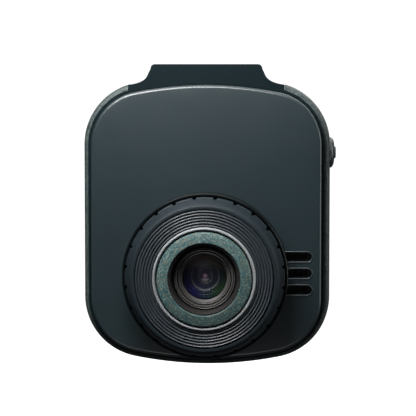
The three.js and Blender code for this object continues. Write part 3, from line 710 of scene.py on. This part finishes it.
def platform_outline(inset):
    """The platform from the front: flat top, small round corners, hollow flared sides."""
    top = rim_hi[2]
    rounding = 0.9 * mm
    waist = (platform_half + 0.6 * mm, top - 2.2 * mm)
    foot = (foot_half, shoulder_z(foot_half, inset))
    right = [(foot_half, top - 7.5 * mm), foot]
    right += bezier(foot, (waist[0] + 0.7 * mm, top - 4 * mm), waist, 12)
    right += arc((platform_half - rounding, top - rounding), rounding, 0, math.pi / 2, 8)
    left = [(-x, z) for x, z in reversed(right)]
    return right + left


screw_x, _, screw_z = middle(*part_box("rear_screw_right"))
boss_radius = 2.1 * mm
_, power_y, power_z = middle(power_lo, power_hi)
power_hole = 3.6 * mm
rim_depth = 1.5 * mm
core_inset = 2.9 * mm


def side_openings(piece):
    """The power button's hole on the right, and the port and card openings on the left."""
    boolean(piece, side_rod_tool(power_hole, power_y, power_z, side_x - 6 * mm, side_x + 2 * mm))
    for low, high, room in ((usb_lo, usb_hi, 0.15 * mm), (card_lo, card_hi, 0.3 * mm)):
        boolean(piece, box_tool((-side_x - mm, low[1] - room, low[2] - room),
                                (-side_x + 6 * mm, high[1] + room, high[2] + room)))


def screw_bosses(piece, drilled):
    """The two pillars that the rear screws bite into."""
    for x in (-screw_x, screw_x):
        pillar = rod_tool(boss_radius, x, screw_z, frame_back - 7 * mm, frame_back, 40)
        boolean(piece, pillar, "UNION")
        if drilled:
            hole = rod_tool(0.85 * mm, x, screw_z, frame_back - 6.4 * mm, frame_back + mm, 32)
            boolean(piece, hole)


def bracket_slot(piece):
    """The T-shaped slot in the platform, open at the back, that the windscreen bracket slides into."""
    front = 2 * mm
    neck, head = 4 * mm, 7 * mm
    bottom, ledge = -3.1 * mm, -1.2 * mm
    boolean(piece, box_tool((-neck, front, bottom), (neck, frame_back + mm, mm)))
    boolean(piece, box_tool((-head, front, bottom), (head, frame_back + mm, ledge)))


def mount_frame():
    """The structural ring between the covers, with its rims, bosses and bracket platform."""
    rim_back = rim_front + rim_depth
    flange = frame_back - rim_depth
    recess = 1.95 * mm
    piece = skin("mount_frame_shell", [(rim_inset, rim_front), (rim_inset, rim_back), (recess, rim_back),
                                       (recess, flange), (rim_inset, flange), (rim_inset, frame_back)])
    boolean(piece, prism_tool(platform_outline(rim_inset), rim_front, frame_back), "UNION")
    boolean(piece, prism_tool(platform_outline(0.1 * mm), rim_back + gap, flange - gap), "UNION")
    screw_bosses(piece, drilled=False)
    lip_inset = rim_inset + 0.61 * mm
    seat = rim_front + 1.1 * mm
    hollow = skin("tool", [(lip_inset, rim_front - mm), (lip_inset, seat), (core_inset, seat),
                           (core_inset, frame_back + mm)])
    boolean(piece, hollow)
    screw_bosses(piece, drilled=True)
    bracket_slot(piece)
    side_openings(piece)
    bevel(piece, 0.16 * mm)
    finish_piece(piece, "frame_plastic", nodes=["mount_frame"], smooth=30)


def side_band():
    """The grained wrap, bulging outwards between its edges."""
    front, back = band_lo[1], band_hi[1]
    # (inset, distance from the edge) in millimetres
    bulge = [(0.95, 0.0), (0.68, 0.12), (0.42, 0.35), (0.24, 0.75), (0.1, 1.6), (0.03, 2.6), (0.0, 3.4)]
    stations = [(inset * mm, front + y * mm) for inset, y in bulge]
    stations += [(0.0, front + (back - front) * (0.32 + 0.36 * k / 8)) for k in range(9)]
    stations += [(inset * mm, back - y * mm) for inset, y in reversed(bulge)]
    inner = 1.8 * mm
    fine = dict(corner_steps=90, crown_steps=100, side_steps=120)
    rings = [ring_at(outline(inset, **fine), y) for inset, y in stations]
    rings += [ring_at(outline(inner, **fine), back), ring_at(outline(inner, **fine), front)]
    piece = loft("side_band_wrap", rings, closed=True)
    foot = foot_half + gap
    boolean(piece, box_tool((-foot, front - mm, corner_top_z), (foot, back + mm, mm)))
    side_openings(piece)
    finish_piece(piece, "band_grain", nodes=["side_band"], smooth=50)


# ---- lens turret

collar_radius = collar_hi[0]
collar_front = collar_lo[1]
collar_inner = collar_radius - 0.55 * mm
bezel_radius = bezel_hi[0]
bezel_front = bezel_lo[1]
rib_outer = ribbed_hi[0]
rib_pitch = 0.61 * mm
rib_count = 6
lip_width = 0.69 * mm
notch_count = 24
notch_radius = 0.45 * mm


def lens_collar():
    """The plain tube of the turret, seated on the bowed cover."""
    bore = 14.4 * mm
    foot = cover_front + 2.4 * mm
    ledge = cover_front - 0.9 * mm
    wide, deep = 0.2 * mm, 0.45 * mm
    profile = [(bore, foot), (collar_radius, foot), (collar_radius, collar_front + deep)]
    profile += [(collar_radius - wide * (1 - math.cos(t)), collar_front + deep * (1 - math.sin(t)))
                for t in (0.5, 1.0, 1.4)]
    profile += from_corner(collar_inner, collar_front, [(0.06, 0), (0, 0.08)])
    profile += [(collar_inner, ledge), (bore, ledge)]
    piece = spin("lens_collar_ring", profile, 192)
    boolean(piece, loft("tool", cover_rings(gap)))
    finish_piece(piece, "turret_black", nodes=["lens_collar"])


def notch_depth(angle):
    """How far a small round scallop cuts into the bezel's edge at an angle."""
    pitch = TAU / notch_count
    offset = abs((angle / pitch) % 1 - 0.5) * pitch * bezel_radius
    if offset >= notch_radius:
        return 0.0
    return math.sqrt(notch_radius ** 2 - offset ** 2)


def lens_bezel():
    """The notched ring, its upright edge running over into a swelling shoulder."""
    shoulder = collar_front + 0.3 * mm
    edge_height = 1.72 * mm
    edge_round = 0.2 * mm
    rim = rib_outer + 0.15 * mm
    rim_flat = 0.3 * mm
    profile = [(bezel_radius - 0.7 * mm, bezel_hi[1])]
    profile += from_corner(bezel_radius, shoulder, [(-0.7, 1.2), (-0.1, 1.1), (0, 1), (0, -1.5),
                                                    (-0.03, -1.6), (-0.1, -1.67), (-0.2, -1.72)])
    swell = bezel_radius - edge_round - rim - rim_flat
    rise = shoulder - bezel_front - edge_height
    steps = 12
    for i in range(1, steps + 1):
        turn = math.pi / 2 * i / steps
        radius = rim + rim_flat + swell * (1 - i / steps) ** 0.75
        profile.append((radius, shoulder - edge_height - rise * math.sin(turn)))
    profile += from_corner(rim, bezel_front, [(0, 0.05), (0, 1.4), (-0.9, 1.4)])
    profile.append((rim - 0.9 * mm, bezel_hi[1]))

    def cut(radius, y, angle):
        return min(radius, bezel_radius - notch_depth(angle))

    piece = spin("lens_bezel_ring", profile, notch_count * 28, cut)
    finish_piece(piece, "ring_black", nodes=["lens_bezel"], smooth=32)


def ribbed_ring():
    """The ribbed face, ending inwards in a plain raised lip."""
    valley = bezel_front + 0.35 * mm
    crest = bezel_front + 0.02 * mm
    back = ribbed_hi[1]
    profile = [(rib_outer, back), (rib_outer, valley)]
    samples = 10
    for i in range(rib_count * samples + 1):
        phase = i / samples
        height = 0.5 - 0.5 * math.cos(TAU * phase)
        profile.append((rib_outer - rib_pitch * phase, valley + (crest - valley) * height ** 0.75))
    inner = rib_outer - rib_pitch * rib_count
    front = ribbed_lo[1]
    profile += [(inner, back)]
    piece = spin("ribbed_ring_face", profile, 224)
    finish_piece(piece, "rib_black", nodes=["ribbed_ring"], smooth=60)
    end = inner - lip_width
    lip = [(inner, back), (inner, valley)]
    lip += from_corner(inner, front, [(-0.04, 0.26), (-0.14, 0.1), (-0.27, 0.02), (-0.4, 0)])
    lip += from_corner(end, front, [(0.26, 0.02), (0.13, 0.1), (0.04, 0.24), (0, 0.4)])
    lip.append((end, back))
    piece = spin("ribbed_ring_lip", lip, 192)
    finish_piece(piece, "lip_plastic", smooth=60)


def trim_ring():
    """The speckled ring, its face sloping slightly and turning over into the mouth."""
    outer = trim_hi[0] + 0.22 * mm
    inner = outer - 2.36 * mm
    front = trim_lo[1]
    profile = [(outer, trim_hi[1])]
    profile += from_corner(outer, front, [(0, 0.45), (-0.08, 0.3), (-0.25, 0.2)])
    profile += from_corner(inner, front, [(0.3, 0.03), (0.15, 0), (0.05, 0.04), (0, 0.14)])
    profile += from_corner(inner, front, [(0, 1), (1, 1.2)])
    profile.append((inner + mm, trim_hi[1]))
    piece = spin("trim_ring_face", profile, 192)
    finish_piece(piece, "flake_trim", nodes=["trim_ring"], smooth=50)


def lens_hood():
    """The black funnel between the trim ring and the lens, hollowed like a shallow dish."""
    mouth = trim_hi[0] - 2.25 * mm
    front = hood_lo[1]
    throat = barrel_hi[0] + 0.25 * mm
    throat_y = barrel_lo[1] + 0.4 * mm
    back = hood_hi[1]
    wall = 0.8 * mm
    profile = from_corner(mouth, front, [(0, 0), (0, 0.8), (0.95, 1)])
    profile.append((mouth + 0.95 * mm, bezel_front + 1.35 * mm))
    profile += from_corner(hood_hi[0], bezel_front, [(0, 1.55), (0, 2.3)])
    profile += [(throat + wall, throat_y + 0.4 * mm), (throat + wall, back), (throat, back),
                (throat, throat_y)]
    steps = 10
    for i in range(1, steps):
        t = i / steps
        reach = throat + (mouth - 0.25 * mm - throat) * t ** 1.8
        profile.append((reach, throat_y + (front - throat_y) * t))
    profile.append((mouth - 0.2 * mm, front))
    piece = spin("lens_hood_funnel", profile, 160)
    finish_piece(piece, "hood_black", nodes=["lens_hood"], smooth=40)


def lens_barrel():
    """The screw-in lens: grooved rim, head, threaded body and the bore for the glass."""
    head = barrel_hi[0]
    front, back = barrel_lo[1], barrel_hi[1]
    thread = 6 * mm
    bore = 4.9 * mm
    rear_bore = 3.4 * mm
    profile = from_corner(head, front, [(-0.12, 0), (0, 0.12), (0, 4.6)])
    pitch = 0.5 * mm
    start = front + 5 * mm
    turns = int((back - start) / pitch)
    for i in range(turns):
        y = start + i * pitch
        profile += [(thread, y), (thread - 0.25 * mm, y + pitch / 2)]
    profile += [(thread, back), (rear_bore, back), (rear_bore, back - mm), (bore, back - 1.6 * mm),
                (bore, front + 2.2 * mm)]
    profile += from_corner(head, front, [(-0.75, 2), (-0.75, 0.15), (-0.68, 0.04), (-0.5, 0)])
    profile += from_corner(head, front, [(-0.42, 0.06), (-0.36, 0.3), (-0.26, 0.3), (-0.2, 0.06)])
    piece = spin("lens_barrel_body", profile, 144)
    finish_piece(piece, "barrel_black", nodes=["lens_barrel"], smooth=40)


def lens_retainer():
    """The ring that holds the front glass: a sloping face with one fine groove."""
    outer = retainer_hi[0]
    front = retainer_lo[1]
    inner = 4.72 * mm
    profile = [(outer, front + 0.2 * mm), (outer, retainer_hi[1]), (inner, retainer_hi[1])]
    profile += from_corner(inner, front, [(0, 0.75), (0.08, 0.66)])
    profile += from_corner(outer, front, [(-0.42, 0.16), (-0.4, 0.3), (-0.32, 0.3)])
    profile += from_corner(outer, front, [(-0.3, 0.05), (-0.15, 0)])
    piece = spin("lens_retainer_ring", profile, 128)
    finish_piece(piece, "barrel_black", nodes=["lens_retainer"], smooth=35)


def dome(name, radius, edge_y, bow, back_y, steps=14):
    """A lens element from its bowed front to its flat back."""
    profile = [(radius * i / steps, edge_y - bow * (1 - (i / steps) ** 2)) for i in range(steps + 1)]
    profile += [(radius, back_y), (0.0, back_y)]
    return spin(name, profile, 96)


def front_element():
    radius = front_glass_hi[0]
    front, back = front_glass_lo[1], front_glass_hi[1]
    piece = dome("front_element_glass", radius, front + mm, mm, back - 0.2 * mm)
    finish_piece(piece, "coated_glass", nodes=["front_element"], smooth=30)


def inner_baffles():
    """Stepped rings that narrow the light path behind the front glass."""
    bore = 4.7 * mm
    start_y = front_glass_hi[1] - 0.1 * mm
    # opening and depth in millimetres, and the look
    steps = ((3.85, 0.0, "baffle_glass"), (3.1, 0.5, "baffle_glass"), (2.8, 0.8, "step_grey"),
             (1.75, 1.3, "pupil_glass"), (1.35, 1.65, "step_grey"))
    for index, (opening, depth, look) in enumerate(steps):
        front = start_y + depth * mm
        profile = [(bore, front), (bore, front + 0.3 * mm)]
        profile += from_corner(opening * mm, front, [(0, 0.3), (0, 0.16), (0.05, 0.06), (0.16, 0)])
        piece = spin(f"lens_baffle_{index + 1}", profile, 96)
        finish_piece(piece, look, smooth=50)


def middle_element():
    """The small strongly curved element at the bottom of the stepped rings."""
    front = front_glass_hi[1] + 1.6 * mm
    piece = dome("middle_element_glass", 2.6 * mm, front + mm, 0.9 * mm, front + 1.6 * mm)
    finish_piece(piece, "pupil_painted_glint", nodes=["middle_element"], smooth=30)


# ---- back

def rear_openings(piece, front, inner):
    """Cuts the window's seat and view, the screw holes, the button holes and the light's hole."""
    beyond = rear_face + mm
    seat = stadium(0, window_z, window_width + 2 * gap, window_height + 2 * gap, 3 * mm)
    boolean(piece, prism_tool(seat, window_lo[1] - gap, beyond))
    view = stadium(0, window_z, window_width - 4 * mm, window_height - 4 * mm, 3 * mm)
    boolean(piece, prism_tool(view, inner - mm, rear_face))
    for x in (-screw_x, screw_x):
        boolean(piece, rod_tool(boss_radius, x, screw_z, front, inner + 0.2 * mm, 40), "UNION")
        boolean(piece, rod_tool(0.95 * mm, x, screw_z, front - mm, beyond, 32))
        boolean(piece, rod_tool(1.65 * mm, x, screw_z, rear_face - 1.55 * mm, beyond, 48))
    for index in range(button_count):
        boolean(piece, prism_tool(button_outline(index, 0.2 * mm), inner - mm, beyond))
    pipe_z = middle(*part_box("light_pipe"))[2]
    boolean(piece, rod_tool(1.05 * mm, 0, pipe_z, inner - mm, beyond, 40))


def rear_cover():
    """The back shell with its large edge rounding."""
    fillet = 2.6 * mm
    front = rear_lo[1]
    rings = [ring_at(outline(rim_inset), front)]
    for inset, back in reversed(quarter(fillet, 12)):
        rings.append(ring_at(outline(rim_inset + inset), rear_face - back))
    rings += [ring_at(outline(rim_inset + fillet + room), rear_face) for room in (0.1 * mm, 0.8 * mm)]
    piece = loft("rear_cover_shell", rings)
    inner = rear_face - 1.6 * mm
    hollow = skin("tool", [(core_inset, front - mm), (core_inset, inner - mm),
                           (core_inset + 1.2 * mm, inner)])
    boolean(piece, hollow)
    rear_openings(piece, front, inner)
    bevel(piece, 0.14 * mm)
    finish_piece(piece, "cover_plastic", nodes=["rear_cover"], smooth=30)


def display_window():
    """The flat pane, its edge softened."""
    back = window_hi[1]

    def ring(inset, y):
        width, height = window_width - 2 * inset, window_height - 2 * inset
        return ring_at(stadium(0, window_z, width, height, 3 * mm - inset, 16), y)

    rings = [ring(0.0, window_lo[1]), ring(0.0, back - 0.16 * mm), ring(0.05 * mm, back - 0.06 * mm),
             ring(0.16 * mm, back), ring(0.22 * mm, back), ring(0.6 * mm, back)]
    piece = loft("display_window_pane", rings)
    finish_piece(piece, "display_glass", nodes=["display_window"], smooth=30)


button_count = 4


def button_outline(index, grow):
    """The cap's outline, as wide as the button's flange less its overhang."""
    low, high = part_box(f"menu_button_{index + 1}")
    x, _, z = middle(low, high)
    overhang = 0.8 * mm
    width = high[0] - low[0] - 2 * overhang + 2 * grow
    height = high[2] - low[2] - 2 * overhang + 2 * grow
    return stadium(x, z, width, height, height / 2 - 0.03 * mm, 14)


def menu_button(index):
    """A pill-shaped cap with its flange behind the cover and its stem."""
    body = f"menu_button_{index + 1}"
    low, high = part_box(body)
    x, _, z = middle(low, high)
    sign_relief = 0.02 * mm
    back = high[1] - sign_relief
    flange_back = rear_face - 1.75 * mm
    flange_front = flange_back - 0.7 * mm
    flange = button_outline(index, 0.78 * mm)
    fillet = 0.5 * mm
    stem = circle((x, z), 1.1 * mm, len(flange))
    rings = [ring_at(stem, low[1]), ring_at(stem, flange_front), ring_at(flange, flange_front),
             ring_at(flange, flange_back), ring_at(button_outline(index, 0.0), flange_back)]
    for inset, drop in reversed(quarter(fillet, 7)):
        rings.append(ring_at(button_outline(index, -inset), back - drop))
    rings += [ring_at(button_outline(index, -fillet - room), back) for room in (0.05 * mm, 0.3 * mm)]
    piece = loft(f"menu_button_cap_{index + 1}", rings)
    finish_piece(piece, "button_plastic", body, [body], smooth=35)
    button_sign(index, (x, z), back, body)


def menu_buttons():
    for index in range(button_count):
        menu_button(index)


def button_sign(index, centre, back, body):
    """A small plain sign printed on each button: bars, up, down and a dot."""
    x, z = centre
    size = 0.62 * mm
    bar_pitch = 0.48 * mm
    half_bar = 0.11 * mm
    if index == 0:
        corners = ((1, 1), (-1, 1), (-1, -1), (1, -1))
        shapes = [[(x + sx * size * 1.2, z + k * bar_pitch + sz * half_bar) for sx, sz in corners]
                  for k in (-1, 0, 1)]
    elif index == 3:
        shapes = [circle(centre, size, 32)]
    else:
        up = 1 if index == 1 else -1
        shapes = [[(x, z + up * size), (x - size, z - up * 0.6 * size), (x + size, z - up * 0.6 * size)]]
    for k, shape in enumerate(shapes):
        rings = [ring_at(shape, back - 0.05 * mm), ring_at(shape, back + 0.012 * mm)]
        sign = loft(f"button_sign_{index + 1}_{k + 1}", rings)
        finish_piece(sign, "sign_paint", body)


def rear_screws():
    """Low round heads with a cross recess."""
    shank = 0.8 * mm
    blade, arm, deep = 0.2 * mm, 0.85 * mm, 0.5 * mm
    z = screw_z
    for x, name in ((-screw_x, "rear_screw_left"), (screw_x, "rear_screw_right")):
        low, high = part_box(name)
        top = high[1]
        radius = (high[0] - low[0]) / 2
        profile = [(shank, low[1]), (shank, top - 0.9 * mm)]
        profile += from_corner(radius, top, [(0, -0.9), (0, -0.35), (-0.08, -0.16), (-0.3, -0.05)])
        profile.append((0.3 * mm, top))
        piece = loft(f"{name}_head", [ring_at(circle((x, z), reach, 48), y) for reach, y in profile])
        boolean(piece, box_tool((x - arm, top - deep, z - blade), (x + arm, top + mm, z + blade)))
        boolean(piece, box_tool((x - blade, top - deep, z - arm), (x + blade, top + mm, z + arm)))
        finish_piece(piece, "black_screw", nodes=[name], smooth=35)


def light_pipe():
    """The clear rod that carries the status light to the back, its end slightly domed."""
    low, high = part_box("light_pipe")
    z = middle(low, high)[2]
    radius = (high[0] - low[0]) / 2
    profile = [(radius, low[1])] + from_corner(radius, high[1], [(0, -0.12), (-0.1, -0.03), (-0.35, 0)])
    piece = loft("light_pipe_tip", [ring_at(circle((0, z), reach, 48), y) for reach, y in profile])
    finish_piece(piece, "light_guide", nodes=["light_pipe"], smooth=50)


# ---- side controls and ports

def power_button():
    """The domed button with its small flat boss, its flange and its stem."""
    radius = 3.4 * mm
    flange = (power_hi[2] - power_lo[2]) / 2
    boss = 1.35 * mm
    stem = 1.0 * mm
    flange_outer = side_x - core_inset - 0.45 * mm
    flange_inner = side_x - core_inset - 1.2 * mm
    dome_start = side_x + 0.1 * mm
    dome_x = side_x + 0.95 * mm
    dome_inner = boss + 0.25 * mm
    tip = power_hi[0]
    profile = [(power_lo[0], stem), (flange_inner, stem), (flange_inner, flange),
               (flange_outer, flange), (flange_outer, radius), (dome_start, radius)]
    steps = 10
    for i in range(1, steps + 1):
        turn = math.pi / 2 * i / steps
        reach = dome_inner + (radius - dome_inner) * math.cos(turn)
        profile.append((dome_start + (dome_x - dome_start) * math.sin(turn), reach))
    profile += [(dome_x, boss + 0.08 * mm), (dome_x + 0.06 * mm, boss), (tip - 0.1 * mm, boss - 0.04 * mm),
                (tip - 0.02 * mm, boss - 0.14 * mm), (tip, boss - 0.3 * mm), (tip, 0.4 * mm)]
    rings = [side_ring(reach, x, power_y, power_z, 96) for x, reach in profile]
    piece = loft("power_button_cap", rings)
    body = "power_button"
    finish_piece(piece, "button_plastic", body, [body], smooth=40)


def side_frame(name, low, high, mouth_low, mouth_high, look, node, edge):
    """A block with a mouth right through it along X, with softened edges."""
    piece = box_tool(low, high)
    piece.name = name
    boolean(piece, box_tool(mouth_low, mouth_high))
    bevel(piece, edge)
    finish_piece(piece, look, nodes=[node], smooth=35)


def ports():
    """The dark surround of the USB inlet and the plated shell inside it."""
    room = 0.15 * mm
    side_frame("usb_surround_frame", usb_lo, usb_hi,
               (usb_lo[0] - mm, shell_lo[1] - room, shell_lo[2] - room),
               (usb_hi[0] + mm, shell_hi[1] + room, shell_hi[2] + room),
               "frame_plastic", "usb_surround", 0.18 * mm)
    wall = 0.35 * mm
    side_frame("usb_shell", shell_lo, shell_hi,
               (shell_lo[0] - mm, shell_lo[1] + wall, shell_lo[2] + wall),
               (shell_hi[0] - 0.6 * mm, shell_hi[1] - wall, shell_hi[2] - wall),
               "plated_steel", "usb_receptacle", 0.1 * mm)


def memory_card():
    """The card, with softened edges and one side stepped in towards its inner end."""
    low, high = card_lo, card_hi
    step = 1.3 * mm
    narrow = 6 * mm
    thickness = 0.96 * (high[1] - low[1])
    shape = [(low[0], low[2]), (high[0], low[2]), (high[0], high[2] - step),
             (high[0] - narrow, high[2] - step), (high[0] - narrow - step, high[2]), (low[0], high[2])]
    piece = prism_tool(shape, low[1], low[1] + thickness)
    piece.name = "memory_card_body"
    bevel(piece, 0.1 * mm, 2)
    finish_piece(piece, "card_plastic", "memory_card", ["memory_card"], smooth=35)


# ---- nodes that keep their CAD shape

def dress_kept_nodes():
    """Gives every CAD node that still shows the material of its slot."""
    slots = {row["node"]: row["material_slot"] for row in frame["record"]["subparts"]}
    for name, piece in frame["nodes"].items():
        if name in replaced_nodes:
            continue
        for holder in piece.material_slots:
            holder.material = looks[slots[name]]


# ---- stage, light and camera

def floor():
    """A round, pale, level floor some way below the object, which hangs from its bracket. It throws
    no light back up, so the lower half of the object stays dark."""
    level = cad_bounds[0][2] - 45 * mm
    radius = 0.34
    rim = [(x, y, level) for x, y in circle((0, 0), radius, 96)]
    mesh = bpy.data.meshes.new("floor")
    mesh.from_pydata(rim, [], [tuple(range(len(rim)))])
    piece = bpy.data.objects.new("floor", mesh)
    bpy.context.scene.collection.objects.link(piece)
    piece.data.materials.append(floor_paper())
    piece.visible_diffuse = False
    piece.visible_glossy = False


def soft_light(name, place, target, size, power):
    """A rectangular lamp, unseen by the camera, that faces a target. Metres and watts."""
    lamp = bpy.data.lights.new(name, "AREA")
    lamp.shape = "RECTANGLE"
    lamp.size, lamp.size_y = size
    lamp.energy = power
    holder = bpy.data.objects.new(name, lamp)
    bpy.context.scene.collection.objects.link(holder)
    holder.location = place
    holder.rotation_euler = (Vector(target) - Vector(place)).to_track_quat("-Z", "Y").to_euler()
    holder.visible_camera = False


def studio():
    """A white surround for the eye that lights the object only softly."""
    world = bpy.data.worlds.new("studio")
    world.use_nodes = True
    tree = world.node_tree
    surround = tree.nodes["Background"]
    surround.inputs["Color"].default_value = (0.9, 0.95, 1, 1)
    surround.inputs["Strength"].default_value = 0.1
    seen = tree.nodes.new("ShaderNodeBackground")
    seen.inputs["Color"].default_value = (1, 1, 1, 1)
    seen.inputs["Strength"].default_value = 1.1
    path = tree.nodes.new("ShaderNodeLightPath")
    pick = tree.nodes.new("ShaderNodeMixShader")
    tree.links.new(path.outputs["Is Camera Ray"], pick.inputs["Fac"])
    tree.links.new(surround.outputs["Background"], pick.inputs[1])
    tree.links.new(seen.outputs["Background"], pick.inputs[2])
    tree.links.new(pick.outputs["Shader"], tree.nodes["World Output"].inputs["Surface"])
    bpy.context.scene.world = world


def lights():
    """Two soft boxes close above the front, a key light up to the left, a strip on each side, a low
    box in front, one behind and a ceiling for the floor."""
    face = (0, 0, middle_z)
    soft_light("top_box", (-0.015, -0.045, 0.045), (0, 0, -0.015), (0.1, 0.03), 0.055)
    soft_light("front_box", (-0.04, -0.094, 0.076), (0, 0, -0.01), (0.1, 0.03), 0.76)
    soft_light("key_box", (-0.2, -0.33, 0.2), (0, 0, lens_z), (0.06, 0.03), 0.25)
    soft_light("left_strip", (-0.4, -0.1, 0), face, (0.08, 0.3), 0.15)
    soft_light("right_strip", (0.35, -0.03, 0.03), face, (0.05, 0.3), 0.8)
    soft_light("low_box", (-0.04, -0.4, -0.36), face, (0.4, 0.2), 0.9)
    soft_light("back_box", (0.16, 0.35, 0.2), face, (0.3, 0.2), 0.7)
    soft_light("ceiling", (0, 0.1, 0.9), (0, 0.1, 0), (1.2, 1.0), 14)


def camera():
    """Stands a little above and to the right of the lens axis, 0.4 m away."""
    azimuth = math.radians(1.9)
    elevation = math.radians(4.1)
    distance = 0.4
    target = Vector((0.13 * mm, 5 * mm, middle_z + 2.5 * mm))
    level = math.cos(elevation)
    direction = Vector((math.sin(azimuth) * level, -math.cos(azimuth) * level, math.sin(elevation)))
    lens = bpy.data.cameras.new("camera")
    lens.sensor_width = 36
    lens.lens = 156.1
    lens.clip_start = 0.01
    lens.dof.use_dof = False
    holder = bpy.data.objects.new("camera", lens)
    bpy.context.scene.collection.objects.link(holder)
    holder.location = target + direction * distance
    holder.rotation_euler = (-direction).to_track_quat("-Z", "Y").to_euler()
    bpy.context.scene.camera = holder
    bpy.context.scene.view_settings.view_transform = "Standard"


# ---- everything together

camera()
floor()
studio()
lights()

for build in (front_cover, slot_rims, mount_frame, side_band, lens_collar, lens_bezel, ribbed_ring,
              trim_ring, lens_hood, lens_barrel, lens_retainer, front_element, inner_baffles,
              middle_element, rear_cover, display_window, menu_buttons, rear_screws, light_pipe,
              power_button, ports, memory_card, dress_kept_nodes):
    build()
